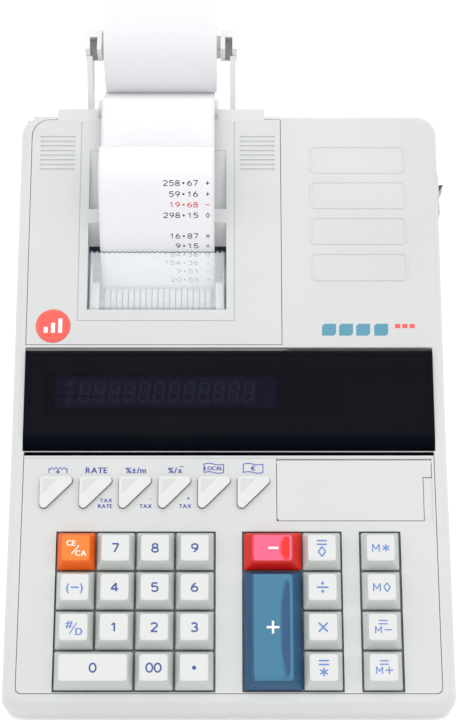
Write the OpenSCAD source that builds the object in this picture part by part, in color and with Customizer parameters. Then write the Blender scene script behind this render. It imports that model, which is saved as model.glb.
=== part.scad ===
// Printing desk calculator: a sloping keyboard, a smoked display window, a type-wheel
// printer under a lift-off cover and a paper roll on two arms behind the case.
// Millimetres, X to the right, Y to the rear, Z up. The feet stand on Z = 0.

/* [Case] */
// Width of the case
body_w = 215; // [190:1:260]
// Depth of the case, front face to rear face
body_d = 298.5; // [292:0.5:304]
// Height of the seam between the lower and upper case
seam_z = 12; // [11:0.5:13]
// Wall thickness of the case mouldings
wall = 2.2; // [1.8:0.1:2.6]
// Slope of the keyboard deck
key_slope = 8; // [7:0.5:9]
// Slope of the rear deck
deck_slope = 11; // [10.5:0.5:11.5]

/* [Keyboard] */
// Distance between key centres
key_pitch = 19; // [18:0.25:19.5]
// Size of a single keycap at its base
key_base = 18; // [16:0.25:18.25]
// Height of the key tops above the keyboard panel
key_h = 5.5; // [4:0.25:6.5]
// Travel of a number key
key_travel = 3; // [2:0.25:3.5]
// Travel of a triangular button
button_travel = 1.4; // [1:0.1:1.6]
// Short side of a triangular button
button_leg = 15.6; // [13:0.2:16.4]

/* [Display] */
// Distance from the front face to the lower edge of the display window
window_y = 124; // [123.5:0.25:125]
// Length of the display tube
tube_w = 110; // [90:1:140]

/* [Printer] */
// Width of the paper
paper_w = 58; // [50:0.5:58.5]
// Outside diameter of the paper roll
roll_d = 47; // [25:1:54]
// Diameter of the platen roller
platen_d = 12; // [10:0.5:13]
// Diameter of the type wheels
type_d = 17; // [14:0.5:18]
// Number of type wheels on the shaft
type_count = 18; // [12:1:18]

/* [Fits] */
// Gap round a keycap, a button, a lid or a panel
gap = 0.35; // [0.25:0.05:0.5]
// Radial clearance of a turning shaft in its bearing
shaft_fit = 0.05; // [0.03:0.01:0.1]

/* [Hidden] */
$fn = 40;

// The two sloping decks: plane height at Y = 0.
deck_z0 = 15.3;
panel_z0 = 22.45;
joint_y = 133;
// Side shoulders: how far in and how far down the rounded edge runs.
shoulder_in = 6.2;
shoulder_down = 8.5;
shoulder_steps = [0, 22.5, 45, 67.5, 90];
front_round = 3;
corner_front = 7;
corner_rear = 9;

// Keyboard panel and the openings for the keys, measured up the slope from Y = 0.
panel_t = 2;
panel_half_w = body_w / 2 - 7;
panel_s0 = 6.8;
panel_s1 = 122;
skirt = 1.2;
keys_s0 = 7.2;
keys_margin = 0.5;
well_depth = key_travel + skirt + 1.4;
guide_t = 1.6;
left_x0 = -83.3;
mid_x0 = 6.3;
right_x0 = 62.6;
wide_pitch = 1.5 * key_pitch;
button_s = 111.2;
button_x0 = -91.8;
button_pitch = 19.2;
button_h = button_travel + 0.6;
button_corner = 2;
groove_in = 1.4;
groove_d0 = 4;
groove_pitch = 1.15;
stem_d = 5;
guide_d = stem_d + 0.5;
stem_l = key_travel + 4;

// Key layout: column and row centres.
function left_x(i) = left_x0 + keys_margin + key_pitch * (i + 0.5);
function row_s(i) = keys_s0 + keys_margin + key_pitch * (i + 0.5);
wide_x = mid_x0 + 0.45 + wide_pitch / 2;
narrow_x = mid_x0 + 0.2 + wide_pitch + key_pitch / 2;
right_x = right_x0 + keys_margin + key_pitch / 2;

shade = "#f3f4f4";
orange = "#ff8c40";
red = "#eb2d14";
blue = "#2f6f92";

// name, column centre, row centre, width, depth, colour
KEYS = [
    ["key_clear", left_x(0), row_s(3), 1, 1, orange],
    ["key_7", left_x(1), row_s(3), 1, 1, shade],
    ["key_8", left_x(2), row_s(3), 1, 1, shade],
    ["key_9", left_x(3), row_s(3), 1, 1, shade],
    ["key_sign", left_x(0), row_s(2), 1, 1, shade],
    ["key_4", left_x(1), row_s(2), 1, 1, shade],
    ["key_5", left_x(2), row_s(2), 1, 1, shade],
    ["key_6", left_x(3), row_s(2), 1, 1, shade],
    ["key_item", left_x(0), row_s(1), 1, 1, shade],
    ["key_1", left_x(1), row_s(1), 1, 1, shade],
    ["key_2", left_x(2), row_s(1), 1, 1, shade],
    ["key_3", left_x(3), row_s(1), 1, 1, shade],
    ["key_0", left_x(0.5), row_s(0), 2, 1, shade],
    ["key_00", left_x(2), row_s(0), 1, 1, shade],
    ["key_point", left_x(3), row_s(0), 1, 1, shade],
    ["key_minus", wide_x, row_s(3), 1.5, 1, red],
    ["key_plus", wide_x, row_s(1), 1.5, 3, blue],
    ["key_subtotal", narrow_x, row_s(3), 1, 1, shade],
    ["key_divide", narrow_x, row_s(2), 1, 1, shade],
    ["key_multiply", narrow_x, row_s(1), 1, 1, shade],
    ["key_total", narrow_x, row_s(0), 1, 1, shade],
    ["key_mem_total", right_x, row_s(3), 1, 1, shade],
    ["key_mem_subtotal", right_x, row_s(2), 1, 1, shade],
    ["key_mem_minus", right_x, row_s(1), 1, 1, shade],
    ["key_mem_plus", right_x, row_s(0), 1, 1, shade],
];
BUTTONS = ["key_paper_feed", "key_rate", "key_markup", "key_average", "key_local", "key_euro"];

// Switch bay in the keyboard panel and its lid.
bay_x0 = 23.4;
bay_x1 = panel_half_w;
bay_s0 = 89.6;
bay_s1 = 120.2;
bay_depth = 6;
notch_w = 4.2;
notch_s = 111.2;
lid_t = 1.6;
lid_gap = 0.8;
lid_pin_d = 1.6;
lid_axis_s = bay_s1 - 1.4;
lid_axis_n = -0.9;
slider_travel = 10;
decimal_x = 44;
rounding_x = 76;
slider_s = 104;

// Display window: top face from its rear edge down to the bevelled front edge.
window_half_w = body_w / 2 - 6.6;
window_rear = [173, 51];
window_front = [134.5, 43];
window_t = 2;

// Printer bay in the cover.
printer_x = -36.3;
cover_x0 = -(body_w / 2 - 6.5);
cover_x1 = 26.3;
cover_y0 = 176.6;
cover_y1 = body_d - 4;
tab_x0 = -88.4;
tab_w = 106.6;
tab_t = 3;
tab_z = deck_z(cover_y1) - tab_t - 0.2;
tab_y1 = body_d + 2.7;
cover_t = 2.2;
step_x0 = -76;
step_x1 = 3;
step_y0 = 188.4;
bay_half = paper_w / 2 + 6;
mouth_y0 = 194.3;
mouth_y1 = 239.6;
bar_y1 = 246.7;
ramp_y1 = 278;
ramp_drop = 4;
guide = [body_d + 2.3, deck_z(body_d) - 0.6225];
guide_r = 4.8;
grip_ribs = 8;
grip_pitch = 2.54;
grip_y0 = 267.2;
grip_w = 17.8;

// Printer mechanism: shaft centres in Y and Z.
platen = [224.5, 31.5];
wheels = [208.5, 31];
ink = [195.4, 26];
ink_d = 9;
shaft_d = 4;
frame_half = paper_w / 2 + 4.3;
frame_x0 = printer_x - frame_half;
frame_x1 = printer_x + frame_half;
roller_half = paper_w / 2 + 2;
board_half = body_w / 2 - 10.5;
plate_t = 1.5;
gear_module = 0.8;
platen_teeth = 30;
pinion_teeth = 10;
gear_w = 3;
gear_x = frame_x1 + plate_t + 0.8;
motor = [platen[0], platen[1] - gear_module * (platen_teeth + pinion_teeth) / 2];
motor_d = 20;
motor_l = 26;
bracket_x = gear_x + gear_w + 1;

// Paper roll and its holder.
roll_reach = 41.5;
roll_c = [body_d + roll_reach, deck_z(body_d) - 0.3225];
roll_x = -35.4;
core_d = 17;
core_bore = 12.1;
boss_d = 12;
hub_w = 8.6;
hub_gap = 2;
hub_r = 8.3;
hub_c = [roll_c[0] + 1, roll_c[1]];
arm_t = 3;
holder_y = body_d + 0.4;

// Tear edge of the clear window.
tear_front = [195.2, 51.4];
tear_rear = [226.2, 56.4];
tear_t = 1.5;
tear_teeth = 27;

// Rear of the case: mains inlet, and the power switch in the right wall.
inlet_x = 70;
inlet_z = 29;
switch_y = 262.5;
switch_z = 46;
rocker_w = 10;
rocker_tilt = 13.5;
rocker_reach = 8;
switch_half_y = rocker_reach + 2.6;
switch_half_z = rocker_w / 2 + 1;
rocker_face = 4.4;
rocker_x = body_w / 2 - 4.1;
bezel_t = 1.2;

foot_d = 13;
foot_h = 2.2;
foot_x = body_w / 2 - 17.5;
foot_y = [22, 272];
screw_x = body_w / 2 - 15.5;
screw_y = [38, 252];

// Shift that puts the middle of the whole depth over the origin.
overall_d = roll_c[0] + roll_d / 2;

module placed() translate([0, -overall_d / 2, 0]) children();
module on_panel() translate([0, 0, panel_z0]) rotate([key_slope, 0, 0]) children();
module on_deck() translate([0, 0, deck_z0]) rotate([deck_slope, 0, 0]) children();

function panel_z(y) = panel_z0 + y * tan(key_slope);
function deck_z(y) = deck_z0 + y * tan(deck_slope);
function deck_s(y) = y / cos(deck_slope);
function arc(c, r, a0, a1, n = 6) =
    [for (i = [0:n]) c + r * [cos(a0 + (a1 - a0) * i / n), sin(a0 + (a1 - a0) * i / n)]];
function rounded(x0, x1, y0, y1, r0, r1) = concat(
    arc([x0 + r0, y0 + r0], r0, 180, 270),
    arc([x1 - r0, y0 + r0], r0, 270, 360),
    arc([x1 - r1, y1 - r1], r1, 0, 90),
    arc([x0 + r1, y1 - r1], r1, 90, 180)
);

// A side profile in Y and Z, carried across from x0 to x1.
module across(x0, x1, points)
    translate([x0, 0, 0]) rotate([90, 0, 90]) linear_extrude(x1 - x0) polygon(points);

// A round bar along X.
module bar_x(x0, x1, c, d) translate([x0, c[0], c[1]]) rotate([0, 90, 0]) cylinder(h = x1 - x0, d = d);

// A thin rounded plate, the building block of the case and the keycaps.
module slice(x0, x1, y0, y1, r0, r1) linear_extrude(0.02) polygon(rounded(x0, x1, y0, y1, r0, r1));

// Half of the case between two Y positions, with rounded shoulders; "off" shrinks it inwards.
module case_block(slope, z0, y0, y1, round0, round1, off, bottom) {
    r0 = round0 > 0 ? max(corner_front - off, 1) : 0.05;
    r1 = round1 > 0 ? max(corner_rear - off, 1) : 0.05;
    ya = round0 > 0 ? y0 + off : y0;
    yb = round1 > 0 ? y1 - off : y1;
    half = body_w / 2 - off;
    hull() {
        translate([0, 0, bottom]) slice(-half, half, ya, yb, r0, r1);
        translate([0, 0, z0]) rotate([slope, 0, 0])
            for (t = shoulder_steps) {
                n = -shoulder_down * (1 - sin(t)) - off;
                in_x = shoulder_in * (1 - cos(t));
                in_0 = round0 * (1 - cos(t));
                in_1 = round1 * (1 - cos(t));
                s0 = (ya + in_0 + n * sin(slope)) / cos(slope);
                s1 = (yb - in_1 + n * sin(slope)) / cos(slope);
                translate([0, 0, n - 0.02]) slice(-half + in_x, half - in_x, s0, s1, r0, r1);
            }
    }
}

module case_form(off, bottom) {
    case_block(key_slope, panel_z0, 0, joint_y + 0.3, front_round, 0, off, bottom);
    case_block(deck_slope, deck_z0, joint_y - 0.3, body_d, 0, front_round + 1, off, bottom);
}

// Outline of a triangular button: right angle at the rear left, rounded corners.
function button_outline(grow) =
    let (a = button_corner, r = a + grow, l = button_leg - a)
    concat(
        arc([a, -a], r, 180, 90, 4),
        arc([l, -a], r, 90, -45, 6),
        arc([a, -l], r, -45, -180, 6)
    );

// Stem positions of a key: one under a single key, two under a long one.
function stems(k) = k[4] > 1
    ? [for (i = [-1, 1]) [k[1], k[2] + i * key_pitch]]
    : k[3] > 1.6 ? [for (i = [-1, 1]) [k[1] + i * key_pitch / 2, k[2]]] : [[k[1], k[2]]];

// A keycap: upright skirt, sloping sides, a smaller top set to the rear, hollow underneath.
module key(k) {
    hx = (k[3] * key_pitch - (key_pitch - key_base)) / 2;
    hy = (k[4] * key_pitch - (key_pitch - key_base)) / 2;
    // the tops of the two coloured wide keys are narrower and sit a little to the left
    in_l = k[3] == 1.5 ? 3.4 : 2.3;
    in_r = k[3] == 1.5 ? 4.4 : 2.3;
    color(k[5]) placed() on_panel() {
        translate([k[1], k[2], 0]) difference() {
            hull() {
                translate([0, 0, -skirt]) slice(-hx, hx, -hy, hy, 0.8, 0.8);
                translate([0, 0, 0.8]) slice(-hx, hx, -hy, hy, 0.8, 0.8);
                translate([0, 0, key_h]) slice(in_l - hx, hx - in_r, 3.5 - hy, hy - 1.8, 1.4, 1.4);
            }
            hull() {
                translate([0, 0, -skirt - 0.1]) slice(1.3 - hx, hx - 1.3, 1.3 - hy, hy - 1.3, 0.5, 0.5);
                translate([0, 0, key_h - 1.6])
                    slice(in_l + 1 - hx, hx - in_r - 1, 4.4 - hy, hy - 2.8, 0.5, 0.5);
            }
        }
        for (p = stems(k))
            translate([p[0], p[1], -stem_l]) cylinder(h = stem_l + key_h - 1.2, d = stem_d, $fn = 24);
    }
}

function button_x(i) = button_x0 + button_pitch * i;
button_stem = [4.6, -4.6];

module button(i) {
    color(shade) placed() on_panel() translate([button_x(i), button_s, 0]) {
        difference() {
            translate([0, 0, -1.8]) linear_extrude(1.8 + button_h) polygon(button_outline(0));
            for (j = [0:5]) let (d = groove_d0 + groove_pitch * j)
                translate([groove_in, groove_in - d, button_h - 0.16]) rotate([0, 0, 45])
                    translate([0, -0.14, 0]) cube([sqrt(2) * (d - 2 * groove_in), 0.28, 1]);
        }
        translate([0, 0, -3.6]) linear_extrude(1.2) polygon(button_outline(0.9));
        translate([0, 0, -2.5]) linear_extrude(0.8) polygon(button_outline(-0.3));
        translate([button_stem[0], button_stem[1], -stem_l]) cylinder(h = stem_l - 3, d = 4, $fn = 24);
    }
}

// Left edge and width of the three key openings.
WELLS = [[left_x0, 4 * key_pitch + 1], [mid_x0, 2.5 * key_pitch + 0.6], [right_x0, key_pitch + 1.2]];

module key_wells(grow, n0, n1) {
    for (b = WELLS)
        translate([b[0] - grow, keys_s0 - min(grow, 0.3), n0])
            cube([b[1] + 2 * grow, 4 * key_pitch + 1 + grow + min(grow, 0.3), n1 - n0]);
}

module keyboard_panel() {
    lid_x0 = bay_x0 - gap;
    color(shade) placed() on_panel() difference() {
        union() {
            translate([0, 0, -panel_t]) linear_extrude(panel_t)
                polygon(rounded(-panel_half_w + gap, panel_half_w - gap, panel_s0, panel_s1, 2.5, 0.5));
            // raised bead along the rear edge
            translate([-panel_half_w + gap, panel_s1 - 0.8, -0.3]) rotate([0, 90, 0])
                cylinder(h = 2 * (panel_half_w - gap), r = 0.8);
            key_wells(1.2, -well_depth - guide_t, -0.5);
            translate([bay_x0 - 1.6, bay_s0 - 1.6, -bay_depth - 1.4])
                cube([bay_x1 - bay_x0 + 1.6 - gap, bay_s1 - bay_s0 + 1.6, bay_depth + 1]);
        }
        key_wells(0, -well_depth, 2);
        for (k = KEYS) for (p = stems(k))
            translate([p[0], p[1], -12]) cylinder(h = 12, d = guide_d, $fn = 24);
        for (i = [0:5]) translate([button_x(i), button_s, -10]) linear_extrude(12)
            polygon(button_outline(gap));
        // seat of the lid, nearly flush beside the finger notch
        difference() {
            translate([lid_x0, bay_s0 - gap, -lid_t - lid_gap])
                cube([bay_x1 - gap - 1.2 - lid_x0, bay_s1 - bay_s0 + gap, 10]);
            translate([bay_x1 - 1.2 - gap - notch_w, bay_s0 - 2, -lid_t - lid_gap - 1])
                cube([20, notch_s - gap - bay_s0 + 2, lid_t + lid_gap + 0.6]);
        }
        translate([bay_x0 + 2, bay_s0 + 2, -bay_depth])
            cube([bay_x1 - notch_w - 6 - bay_x0, bay_s1 - bay_s0 - 6, bay_depth]);
        for (x = [decimal_x, rounding_x])
            translate([x - slider_travel / 2 - 2.4, slider_s - 1.8, -12])
                cube([slider_travel + 4.8, 3.6, 12]);
        bar_x(lid_x0 - 1.4, bay_x1 - gap + 0.1, [lid_axis_s, lid_axis_n], lid_pin_d + 2 * shaft_fit);
    }
}

module switch_lid() {
    x1 = bay_x1 - 1.2 - 2 * gap;
    color(shade) placed() on_panel() {
        difference() {
            translate([0, 0, -lid_t]) linear_extrude(lid_t)
                polygon(rounded(bay_x0, x1, bay_s0, bay_s1 - 0.6, 1.5, 0.3));
            translate([x1 - notch_w, bay_s0 - 1, -5]) cube([notch_w + 1, notch_s - bay_s0 + 1, 10]);
        }
        bar_x(bay_x0 - gap - 1.2, bay_x0 + 4, [lid_axis_s, lid_axis_n], lid_pin_d);
        bar_x(x1 - 4, x1 + gap + 1.2, [lid_axis_s, lid_axis_n], lid_pin_d);
    }
}

module slider(x) {
    color("#3a3d42") placed() on_panel() translate([x, slider_s, 0]) {
        translate([-2, -1.4, -bay_depth - 2.2]) cube([4, 2.8, 4.6]);
        translate([-3.4, -4, -bay_depth - 3]) cube([6.8, 8, 1.2]);
    }
}

// Pair of screw bosses joined to the side walls, long enough to reach below the seam.
module screw_boss(y, top) for (sx = [-1, 1]) {
    translate([sx * screw_x, y, seam_z - 1.6]) cylinder(h = top - seam_z + 1.6, d = 7.5);
    translate([sx * screw_x - (sx > 0 ? 0 : 14.5), y - 1, seam_z + 0.5]) cube([14.5, 2, top - seam_z - 0.5]);
}

// Side profile of a strip that follows the rear deck, "down" below it and t thick.
function deck_strip(y0, y1, down, t) = [[y0, deck_z(y0) - down - t], [y1, deck_z(y1) - down - t],
    [y1, deck_z(y1) - down], [y0, deck_z(y0) - down]];

module upper_case() {
    cx0 = cover_x0 - gap;
    cx1 = cover_x1 + gap;
    color(shade) placed() difference() {
        union() {
            difference() {
                case_form(0, seam_z);
                case_form(wall, seam_z - 1);
                // keyboard opening, with a front ledge left under the panel
                on_panel() translate([0, 0, -14]) linear_extrude(20)
                    polygon(rounded(-panel_half_w, panel_half_w, panel_s0 - gap, panel_s1 + 2, 2.8, 0.5));
                // display opening
                translate([-window_half_w - gap, window_y - 1, 24])
                    cube([2 * (window_half_w + gap), cover_y0 - window_y - 0.6, 60]);
                // printer opening
                intersection() {
                    across(cx0, cx1, deck_strip(cover_y0 - gap, cover_y1 + gap, -20, 21 + cover_t));
                    cover_outline(gap);
                }
            }
            // ledge under the edges of the keyboard panel
            for (side = [-1, 1]) on_panel()
                translate([side > 0 ? panel_half_w - 2 : -panel_half_w - 2.2, 9, -panel_t - 1.8])
                    cube([4.2, (side > 0 ? bay_s0 - 4 : panel_s1 - 2) - 9, 1.6]);
            // ledges under the edges of the printer cover
            for (x = [cover_x0 - 3, cover_x1 - 3])
                across(x, x + 6, deck_strip(cover_y0 - 2, cover_y1 + 1, cover_t + 0.1, 1.8));
            for (y = [cover_y0 - 3, cover_y1 - 3])
                across(cover_x0, cover_x1, deck_strip(y, y + 6, cover_t + 0.1, 3));
            // cross beam between the keyboard and the display
            translate([-body_w / 2 + 1, window_y + 1.8, seam_z + 4]) cube([body_w - 2, 2, 13]);
            // cross beam behind the display
            translate([-body_w / 2 + 1, cover_y0 - 2.4, seam_z + 18])
                cube([body_w - 2, 2, deck_z(cover_y0) - seam_z - 22]);
            screw_boss(screw_y[0], panel_z(screw_y[0]) - 14);
            screw_boss(screw_y[1], seam_z + 14);
            // embossed frames on the right half of the deck
            for (i = [0:3]) on_deck() translate([41.2, deck_s(209.2 + 18.85 * i), -0.1]) difference() {
                linear_extrude(0.4) polygon(rounded(0, 49, 0, 15, 3, 3));
                translate([0, 0, -1]) linear_extrude(3) polygon(rounded(1, 48, 1, 14, 2.2, 2.2));
            }
        }
        for (sx = [-1, 1]) for (y = screw_y)
            translate([sx * screw_x, y, 0]) cylinder(h = seam_z + 9, d = 3.1);
        // notch in the rear rim for the tab of the printer cover
        translate([tab_x0 - gap, cover_y1 - 1.5 - gap, tab_z - gap]) cube([tab_w + 2 * gap, 20, 20]);
        // rocker switch in the right wall
        translate([body_w / 2 - 12, switch_y - switch_half_y, switch_z - switch_half_z])
            cube([20, 2 * switch_half_y, 2 * switch_half_z]);
        // mains inlet and the roll-holder slots in the rear wall
        translate([inlet_x - 11.2, body_d - 12, inlet_z - 6.2]) cube([22.4, 20, 12.4]);
        for (x = [printer_x - 24, printer_x + 24])
            translate([x - 4.2, body_d - 8, 43.8]) cube([8.4, 16, 4.4]);
    }
}

module lower_case() {
    hw = body_w / 2 - 0.5;
    color("#dfe1e1") placed() difference() {
        union() {
            difference() {
                translate([0, 0, foot_h]) linear_extrude(seam_z - foot_h - 0.05)
                    polygon(rounded(-hw, hw, 0.6, body_d - 0.6, corner_front, corner_rear));
                translate([0, 0, foot_h + wall]) linear_extrude(seam_z)
                    polygon(rounded(-hw + wall, hw - wall, 0.6 + wall, body_d - 0.6 - wall,
                        corner_front - wall, corner_rear - wall));
            }
            for (sx = [-1, 1]) for (y = screw_y)
                translate([sx * screw_x, y, foot_h + 1]) cylinder(h = seam_z - 1.7 - foot_h - 1, d = 9);
            // posts under the printer chassis and under the main board
            for (x = [frame_x0 + 6, frame_x1 - 6]) for (y = [194, 236])
                translate([x, y, foot_h + 1]) cylinder(h = 9.8 - foot_h - 1, d = 6);
            for (x = [-60, 0, 60]) for (y = [24, 96])
                translate([x, y, foot_h + 1]) cylinder(h = panel_z(y) - 12.8 - foot_h - 1, d = 5);
        }
        for (sx = [-1, 1]) for (y = screw_y) translate([sx * screw_x, y, 0]) {
            cylinder(h = 20, d = 3.4);
            cylinder(h = foot_h + 3, d = 7);
        }
        for (sx = [-1, 1]) for (y = foot_y)
            translate([sx * foot_x, y, 0]) cylinder(h = foot_h + 1, d = foot_d + 0.1);
        for (i = [0:9]) translate([30 + 5 * i, 215, 0]) cube([2, 40, 10]);
    }
}

// Outline of the printer cover from above; its rear left corner follows the case corner.
module cover_outline(grow) linear_extrude(120)
    polygon(rounded(cover_x0 - grow, cover_x1 + 30, cover_y0 - 30, cover_y1 + grow, 1, corner_rear));

module printer_cover() {
    mouth_x0 = printer_x - bay_half;
    mouth_x1 = printer_x + bay_half;
    slot_z = deck_z(bar_y1) - ramp_drop;
    color(shade) placed() {
        difference() {
            union() {
                difference() {
                    intersection() {
                        across(cover_x0, cover_x1, deck_strip(cover_y0, cover_y1, 0, cover_t));
                        cover_outline(0);
                    }
                    translate([mouth_x0, mouth_y0, 0]) cube([2 * bay_half, mouth_y1 - mouth_y0, 120]);
                    translate([mouth_x0, bar_y1, 0]) cube([2 * bay_half, ramp_y1 - bar_y1, 120]);
                }
                // lip in front of the mouth
                across(mouth_x0 - 1.6, mouth_x1 + 1.6, [
                    [mouth_y0 - 3, deck_z(mouth_y0) - 2], [mouth_y0 - 1.4, deck_z(mouth_y0) - 5.5],
                    [mouth_y0, deck_z(mouth_y0) - 5.5], [mouth_y0, deck_z(mouth_y0) - 1]]);
                // sloping rear wall of the mouth
                across(mouth_x0 - 1.6, mouth_x1 + 1.6, [
                    [mouth_y1, deck_z(mouth_y1)], [mouth_y1 + 2, deck_z(mouth_y1) - 1],
                    [mouth_y1 - 6.4, deck_z(mouth_y1) - 12], [mouth_y1 - 7.8, deck_z(mouth_y1) - 11]]);
                // ramp that leads the paper down to the slot
                across(mouth_x0 - 1.6, mouth_x1 + 1.6, [
                    [ramp_y1 + 1, deck_z(ramp_y1)], [ramp_y1 + 1, deck_z(ramp_y1) - 2],
                    [bar_y1 + 2, slot_z - 1.8], [bar_y1 + 1.2, slot_z - 0.4], [bar_y1 + 2, slot_z]]);
                // side walls of the mouth and of the ramp
                for (x = [mouth_x0 - 1.6, mouth_x1]) {
                    across(x, x + 1.6, [
                        [mouth_y0 - 1, deck_z(mouth_y0) - 1], [mouth_y0 - 1, deck_z(mouth_y0) - 5.5],
                        [mouth_y1 - 7, deck_z(mouth_y1) - 11], [mouth_y1 + 1, deck_z(mouth_y1) - 1]]);
                    across(x, x + 1.6, [[bar_y1 - 1, deck_z(bar_y1) - 1], [bar_y1 - 1, slot_z + 1],
                        [bar_y1 + 2, slot_z - 1.8], [ramp_y1 + 1, deck_z(ramp_y1) - 1.9],
                        [ramp_y1 + 1, deck_z(ramp_y1) - 1]]);
                }
                // rear tab and the rounded paper guide on it
                translate([tab_x0, cover_y1 - 1.5, tab_z]) cube([tab_w, tab_y1 - cover_y1 + 1.5, tab_t]);
                intersection() {
                    bar_x(printer_x - roller_half, printer_x + roller_half, guide, 2 * guide_r);
                    translate([printer_x - 40, cover_y1, tab_z + 0.4]) cube([80, 30, 30]);
                }
            }
            // finger grips
            for (x = [-96.7, 5.6]) for (i = [0:grip_ribs - 1]) on_deck()
                translate([x, deck_s(grip_y0) + grip_pitch * i, -0.5]) cube([grip_w, 1.1, 3]);
            // fine line round the printer bay
            on_deck() difference() {
                translate([step_x0, deck_s(step_y0), -0.4]) cube([step_x1 - step_x0, 200, 3]);
                translate([step_x0 + 0.5, deck_s(step_y0) + 0.5, -2]) cube([step_x1 - step_x0 - 1, 200, 6]);
                translate([step_x0 - 10, deck_s(cover_y1 - 1.5), -2]) cube([150, 30, 6]);
            }
            // round shallow seat of the emblem
            on_deck() translate([-87.8, deck_s(185.9), -0.4]) cylinder(h = 3, d = 17.4);
        }
    }
}

module tear_window() {
    run = norm(tear_rear - tear_front);
    tilt = atan2(tear_rear[1] - tear_front[1], tear_rear[0] - tear_front[0]);
    half = bay_half - 0.7;
    pitch = 2 * half / tear_teeth;
    teeth = [for (i = [0:2 * tear_teeth]) [half - i * pitch / 2, run - (i % 2 == 0 ? 0.9 : 0)]];
    color("#bcd0d4", 0.45) placed()
    translate([printer_x, tear_front[0], tear_front[1]]) rotate([tilt, 0, 0]) {
        translate([0, 0, -tear_t]) linear_extrude(tear_t) polygon(concat([[-half, 0.4], [half, 0.4]], teeth));
        translate([-half, 0.4, -5]) cube([2 * half, 1.4, 4]);
        for (x = [-half, half - 1.2]) translate([x, 0.4, -3.4]) cube([1.2, run - 3, 2.4]);
    }
}

// Outline of the display window in Y and Z, moved inwards by t.
function window_profile(t) = concat(
    [[window_rear[0] - t * 0.2, window_rear[1] - 7], [window_rear[0] - t * 0.2, window_rear[1] - 1 - t]],
    [[window_rear[0] - 1, window_rear[1] - 0.2 - t]],
    [[window_front[0] + 1 + t * 0.3, window_front[1] + 0.2 - t]],
    arc([window_y + 10, window_front[1] - 10.6], 10.6 - t, 94, 174, 8),
    [[window_y - 0.5 + t, 31]]
);

module display_window() {
    hw = window_half_w;
    color("#181a22") placed() difference() {
        across(-hw, hw, window_profile(0));
        across(-hw + window_t, hw - window_t,
            concat(window_profile(window_t), [[window_y + 3, 20], [window_rear[0] - 2.4, 20]]));
        for (side = [-1, 1]) translate([side * hw, 150, 47.6]) rotate([11.7, side * 45, 0])
            cube([2, 100, 2], center = true);
    }
}

module display_tube() {
    x0 = -86.2;
    color("#2a2a3c") placed() translate([0, 154, 39.4]) rotate([11.7, 0, 0]) {
        translate([x0, -8, 0]) cube([tube_w, 16, 4.2]);
        translate([x0 + tube_w, 2, 2.1]) rotate([0, 90, 0]) cylinder(h = 2.5, d = 2.4);
        translate([x0 - 6, -11, -3.2]) cube([tube_w + 40, 22, 1.6]);
        for (i = [0:21]) translate([x0 + 3 + 5 * i, -7, -2]) cylinder(h = 2.4, d = 0.8, $fn = 8);
        for (x = [x0, x0 + tube_w + 24]) for (s = [-8, 8]) translate([x, s, -6]) cylinder(h = 3, d = 4);
    }
}

module power_switch_body() {
    hy = switch_half_y;
    hz = switch_half_z;
    color("#e9eaea") placed() translate([0, switch_y, switch_z]) difference() {
        union() {
            translate([body_w / 2 + 0.05, -hy - 1.2, -hz - 1.2]) cube([bezel_t, 2 * hy + 2.4, 2 * hz + 2.4]);
            translate([body_w / 2 - 18, -hy + 0.1, -hz + 0.1]) cube([18.4, 2 * hy - 0.2, 2 * hz - 0.2]);
        }
        translate([body_w / 2 - 15, -hy + 0.9, -hz + 0.7]) cube([30, 2 * hy - 1.8, 2 * hz - 1.4]);
        translate([rocker_x, 0, -hz - 2]) cylinder(h = 2 * hz + 4, d = 2.1);
    }
}

module power_rocker() {
    end_w = rocker_face + rocker_reach * tan(rocker_tilt);
    color("#14181d") placed() translate([rocker_x, switch_y, switch_z]) {
        rotate([0, 0, -rocker_tilt]) translate([0, 0, -rocker_w / 2 + 0.05])
            linear_extrude(rocker_w - 0.1) polygon(concat(
                [[end_w, rocker_reach], [rocker_face, 0], [end_w, -rocker_reach]],
                arc([0, 0], 6.4, -70, -290, 12)));
        translate([0, 0, -rocker_w / 2 - 0.95]) cylinder(h = rocker_w + 1.9, d = 2);
    }
}

module roll_holder() {
    x0 = roll_x - paper_w / 2 - hub_gap;
    x1 = roll_x + paper_w / 2 + hub_gap;
    color("#eceded") placed() {
        for (side = [-1, 1]) {
            hx = side < 0 ? x0 - hub_w : x1;
            ax = side < 0 ? x0 - hub_w + 0.6 : x1 + hub_w - 0.6 - arm_t;
            difference() {
                union() {
                    bar_x(hx, hx + hub_w, hub_c, 2 * hub_r);
                    translate([hx, hub_c[0] - hub_r, hub_c[1]]) cube([hub_w, hub_r, hub_r]);
                }
                // window in the hub
                translate([hx + 2.4, roll_c[0] - 5, roll_c[1] - 6]) rotate([26, 0, 0])
                    cube([hub_w - 4.8, 11, 30]);
            }
            bar_x(side < 0 ? x0 - 2.5 : x1 - 3.4, side < 0 ? x0 + 3.4 : x1 + 2.5, roll_c, boss_d);
            across(ax, ax + arm_t, [
                [holder_y + 2, 40], [holder_y + 9, 40], [roll_c[0] - 1, roll_c[1] - 8.6],
                [roll_c[0] - 8, roll_c[1] + 3], [holder_y + 5, 52], [holder_y + 2, 52]]);
        }
        translate([x0 - hub_w + 0.6, holder_y, 40]) cube([x1 - x0 + 2 * hub_w - 1.2, 3, 12]);
        for (x = [printer_x - 24, printer_x + 24]) {
            translate([x - 4, body_d - 5, 44]) cube([8, 6, 4]);
            translate([x - 4, body_d - wall - 1.6, 43]) cube([8, 1.3, 6]);
        }
    }
}

module roll_core() {
    color("#c9b48f") placed() difference() {
        bar_x(roll_x - paper_w / 2, roll_x + paper_w / 2, roll_c, core_d);
        bar_x(roll_x - paper_w, roll_x + paper_w, roll_c, core_bore);
    }
}

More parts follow.
